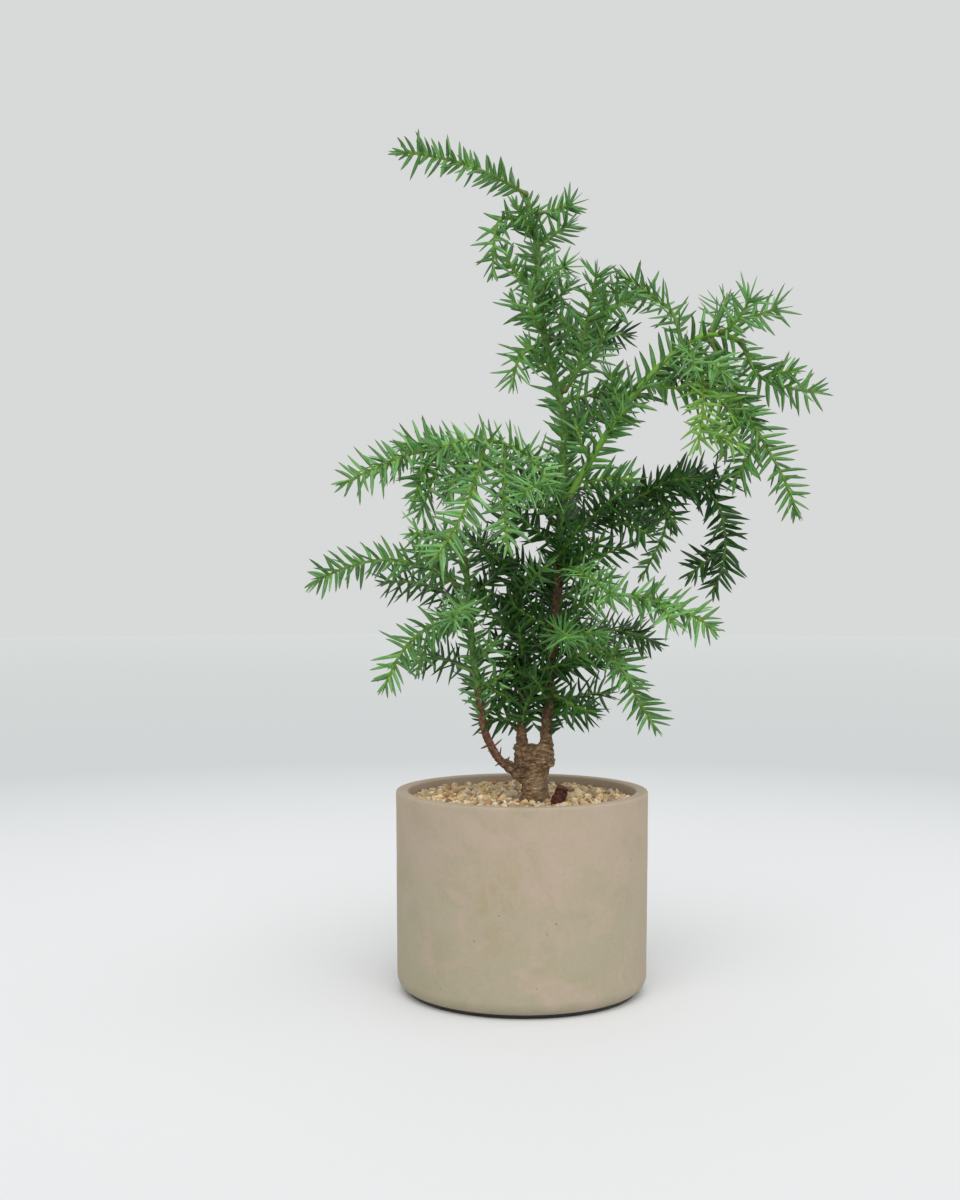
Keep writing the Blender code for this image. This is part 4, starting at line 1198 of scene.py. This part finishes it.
def make_pot():
    outer, inner, low = POT_DIAMETER / 2, POT_DIAMETER / 2 - POT_WALL, PAD_THICKNESS + GAP
    foot, floor = outer - POT_DRAFT, low + POT_FLOOR

    def rows(a, b, count):
        return [tuple(p + (q - p) * i / count for p, q in zip(a, b)) for i in range(1, count)]

    profile = [(inner * 0.3, floor), (inner * 0.7, floor), (inner, floor)]
    profile += rows(profile[-1], (inner, POT_TOP - RIM_ROUND), 10)
    profile += arc((inner + RIM_ROUND, POT_TOP - RIM_ROUND), RIM_ROUND, 180, 90, 4)
    profile += rows(profile[-1], (outer - RIM_ROUND, POT_TOP), 5)
    profile += arc((outer - RIM_ROUND, POT_TOP - RIM_ROUND), RIM_ROUND, 90, 0, 4)
    profile += rows(profile[-1], (foot, low + BASE_ROUND), 74)
    profile += arc((foot - BASE_ROUND, low + BASE_ROUND), BASE_ROUND, 0, -90, 10)
    profile += [(foot * 0.6, low), (foot * 0.3, low)]
    verts = []
    for radius, z in profile:
        for a in np.arange(POT_SIDES) * TAU / POT_SIDES:
            x, y, height = radius * math.cos(a), radius * math.sin(a), z
            if radius > inner - 0.0001:  # the floor inside stays flat
                place = Vector((x, y, z))
                wave = 0.00016 * noise.noise(place * 22) + 0.00006 * noise.noise(place * 130)
                if z > POT_TOP - 0.004:
                    wave += 0.00010 * noise.noise(place * 420)
                x, y = x * (1 + wave / radius), y * (1 + wave / radius)
                if z > POT_TOP - 0.0016 and outer - 0.0012 > radius > inner + 0.0012:  # the rim's top
                    height = min(z + 0.00012 * noise.noise(Vector((x, y, 0)) * 160), POT_TOP + 0.0001)
            verts.append((x, y, height))
    verts = np.array(verts)
    for turn, height, size, depth in PITS:
        a = math.radians(-90 + turn)
        centre = np.array((outer * math.cos(a), outer * math.sin(a), height))
        gap = np.linalg.norm(verts - centre, axis=1)
        push = depth * np.clip(1 - (gap / (size * 1.5)) ** 2, 0, 1)
        verts[:, 0] -= push * math.cos(a)
        verts[:, 1] -= push * math.sin(a)
    surface = Surface()
    surface.add(verts, lattice(len(profile), POT_SIDES) + caps(len(profile), POT_SIDES))
    pot = surface.make("concrete_pot", [pot_material()])
    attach(pot, "root")
    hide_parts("pot")


make_pot()

# --- gravel -------------------------------------------------------------------------------------

GRAIN_COUNT = 1500
GRAIN_TRIES = 60000
GRAIN_SIZES = (0.0010, 0.0022)  # radius
LOWER_SHARE = 0.72  # of the grains; the others lie on top of them
LAYER_RISE = 0.0011
GRAIN_CLOSENESS = 0.78  # centres come no closer than this share of the two radii together
TRUNK_ROOM = (0.0070, 0.0068)  # half width and depth of the oval round the trunk without grains
BED_RINGS, BED_SIDES = 34, 120
BED_INNER = POT_DIAMETER / 2 - POT_WALL - GAP


def bed_level(share):
    return GRAVEL_LEVEL - GRAVEL_FALL * share**2


def make_bed():
    """The glued sand that shows between the grains."""
    verts = []
    for i in range(1, BED_RINGS + 2):
        share = min(i / BED_RINGS, 1.0)
        for k in range(BED_SIDES):
            a, r = TAU * k / BED_SIDES, BED_INNER * share
            place = Vector((r * math.cos(a), r * math.sin(a), 0))
            z = bed_level(share) - 0.0012 + 0.0007 * noise.noise(place * 300)
            verts.append((place.x, place.y, z if i <= BED_RINGS else GRAVEL_LEVEL - GRAVEL_DEPTH))
    bed = Surface()
    bed.add(verts, lattice(BED_RINGS + 1, BED_SIDES) + caps(BED_RINGS + 1, BED_SIDES))
    made = bed.make("gravel_sand", [sand_material()])
    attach(made, "root")


def grain_spots(rng):
    """Places x and y, sizes and layers of grains that lie close without sinking into each other."""
    spots = []
    for _ in range(GRAIN_TRIES):
        if len(spots) == GRAIN_COUNT:
            break
        size = rng.uniform(*GRAIN_SIZES)
        r = (BED_INNER - 0.0008 - size) * math.sqrt(rng.random())
        a = rng.uniform(0, TAU)
        x, y = r * math.cos(a), r * math.sin(a)
        aside = ((x - TRUNK_FOOT.x) / TRUNK_ROOM[0]) ** 2 + ((y - TRUNK_FOOT.y) / TRUNK_ROOM[1]) ** 2
        layer = 0 if len(spots) < GRAIN_COUNT * LOWER_SHARE else 1
        if aside >= 1 and not any(
            s[3] == layer and (s[0] - x) ** 2 + (s[1] - y) ** 2 < (GRAIN_CLOSENESS * (s[2] + size)) ** 2
            for s in spots
        ):
            spots.append((x, y, size, layer))
    return spots


def make_grains():
    ball_mesh = bmesh.new()
    bmesh.ops.create_icosphere(ball_mesh, subdivisions=2, radius=1.0)
    ball_mesh.verts.index_update()
    ball = [v.co.copy() for v in ball_mesh.verts]
    ball_faces = [tuple(v.index for v in f.verts) for f in ball_mesh.faces]
    ball_mesh.free()
    rng = random.Random(8)
    grains = Surface()
    for x, y, size, layer in grain_spots(rng):
        z = bed_level(math.hypot(x, y) / BED_INNER) - 0.0005
        z = z + layer * LAYER_RISE + rng.uniform(-0.0003, 0.0004)
        spin = rng.uniform(0, TAU)
        turn = Matrix.Rotation(spin, 3, Vector([rng.gauss(0, 1) for _ in range(3)]))
        half = [size * rng.uniform(*span) for span in ((0.85, 1.25), (0.75, 1.05), (0.55, 0.9))]
        seed = Vector([rng.uniform(0, 100) for _ in range(3)])
        places = []
        for v in ball:
            lump = 1 + 0.48 * noise.noise(v * 1.5 + seed)
            places.append(Vector((x, y, z)) + turn @ Vector([h * c for h, c in zip(half, v)]) * lump)
        grains.add(places, ball_faces, 0, (rng.random(), rng.random(), 0, 1), smooth=False)
    made = grains.make("gravel_grains", [stone_material()])
    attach(made, "root")
    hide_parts("gravel_bed")


make_bed()
make_grains()

# --- hidden and small CAD pieces ----------------------------------------------------------------


def refinish(node, finish):
    for place in frame["nodes"][node].material_slots:
        place.material = finish


refinish("base_pad", felt_material())
refinish("foam_plug", foam_material())
steel = steel_material()
for wire in ("trunk_rod", "left_core", "middle_core", "leader_core"):
    refinish(wire, steel)

# --- floor, light and background ----------------------------------------------------------------

FLOOR_RADIUS = 4.0


def make_floor():
    bm = bmesh.new()
    bmesh.ops.create_circle(bm, cap_ends=True, segments=96, radius=FLOOR_RADIUS)
    mesh = bpy.data.meshes.new("floor")
    bm.to_mesh(mesh)
    bm.free()
    s = Shader("pale_floor", roughness=0.75)
    # painted pool of light: the floor's colour is lightest round the pot and greyer further out
    near = s.near((0.0, 0.0, 0.0), FLOOR_RADIUS)
    colour = s.ramp(
        near, (0.0, srgb(200, 203, 202)), (0.35, srgb(196, 199, 198)), (0.86, srgb(193, 196, 196)),
        (0.99, srgb(222, 223, 224)),
    )
    mesh.materials.append(s.finish(colour, s.noise(60.0, 3.0), 0.0001, 0.1))
    floor = bpy.data.objects.new("floor", mesh)
    bpy.context.scene.collection.objects.link(floor)


def add_sun(name, strength, angle, aim):
    light = bpy.data.lights.new(name, "SUN")
    light.energy = strength
    light.angle = math.radians(angle)
    item = bpy.data.objects.new(name, light)
    item.rotation_euler = Vector(aim).to_track_quat("-Z", "Y").to_euler()
    bpy.context.scene.collection.objects.link(item)


def make_world(strength, colour):
    world = bpy.data.worlds.new("studio")
    world.use_nodes = True
    back = world.node_tree.nodes["Background"]
    back.inputs["Color"].default_value = colour
    back.inputs["Strength"].default_value = strength
    bpy.context.scene.world = world


make_floor()
add_sun("key_light", 1.6, 50, (0.05, 0.75, -1.0))
add_sun("fill_light", 0.5, 80, (-0.8, 0.3, -0.5))
make_world(1.0, srgb(216, 217, 217))
bpy.context.scene.view_settings.view_transform = "Standard"
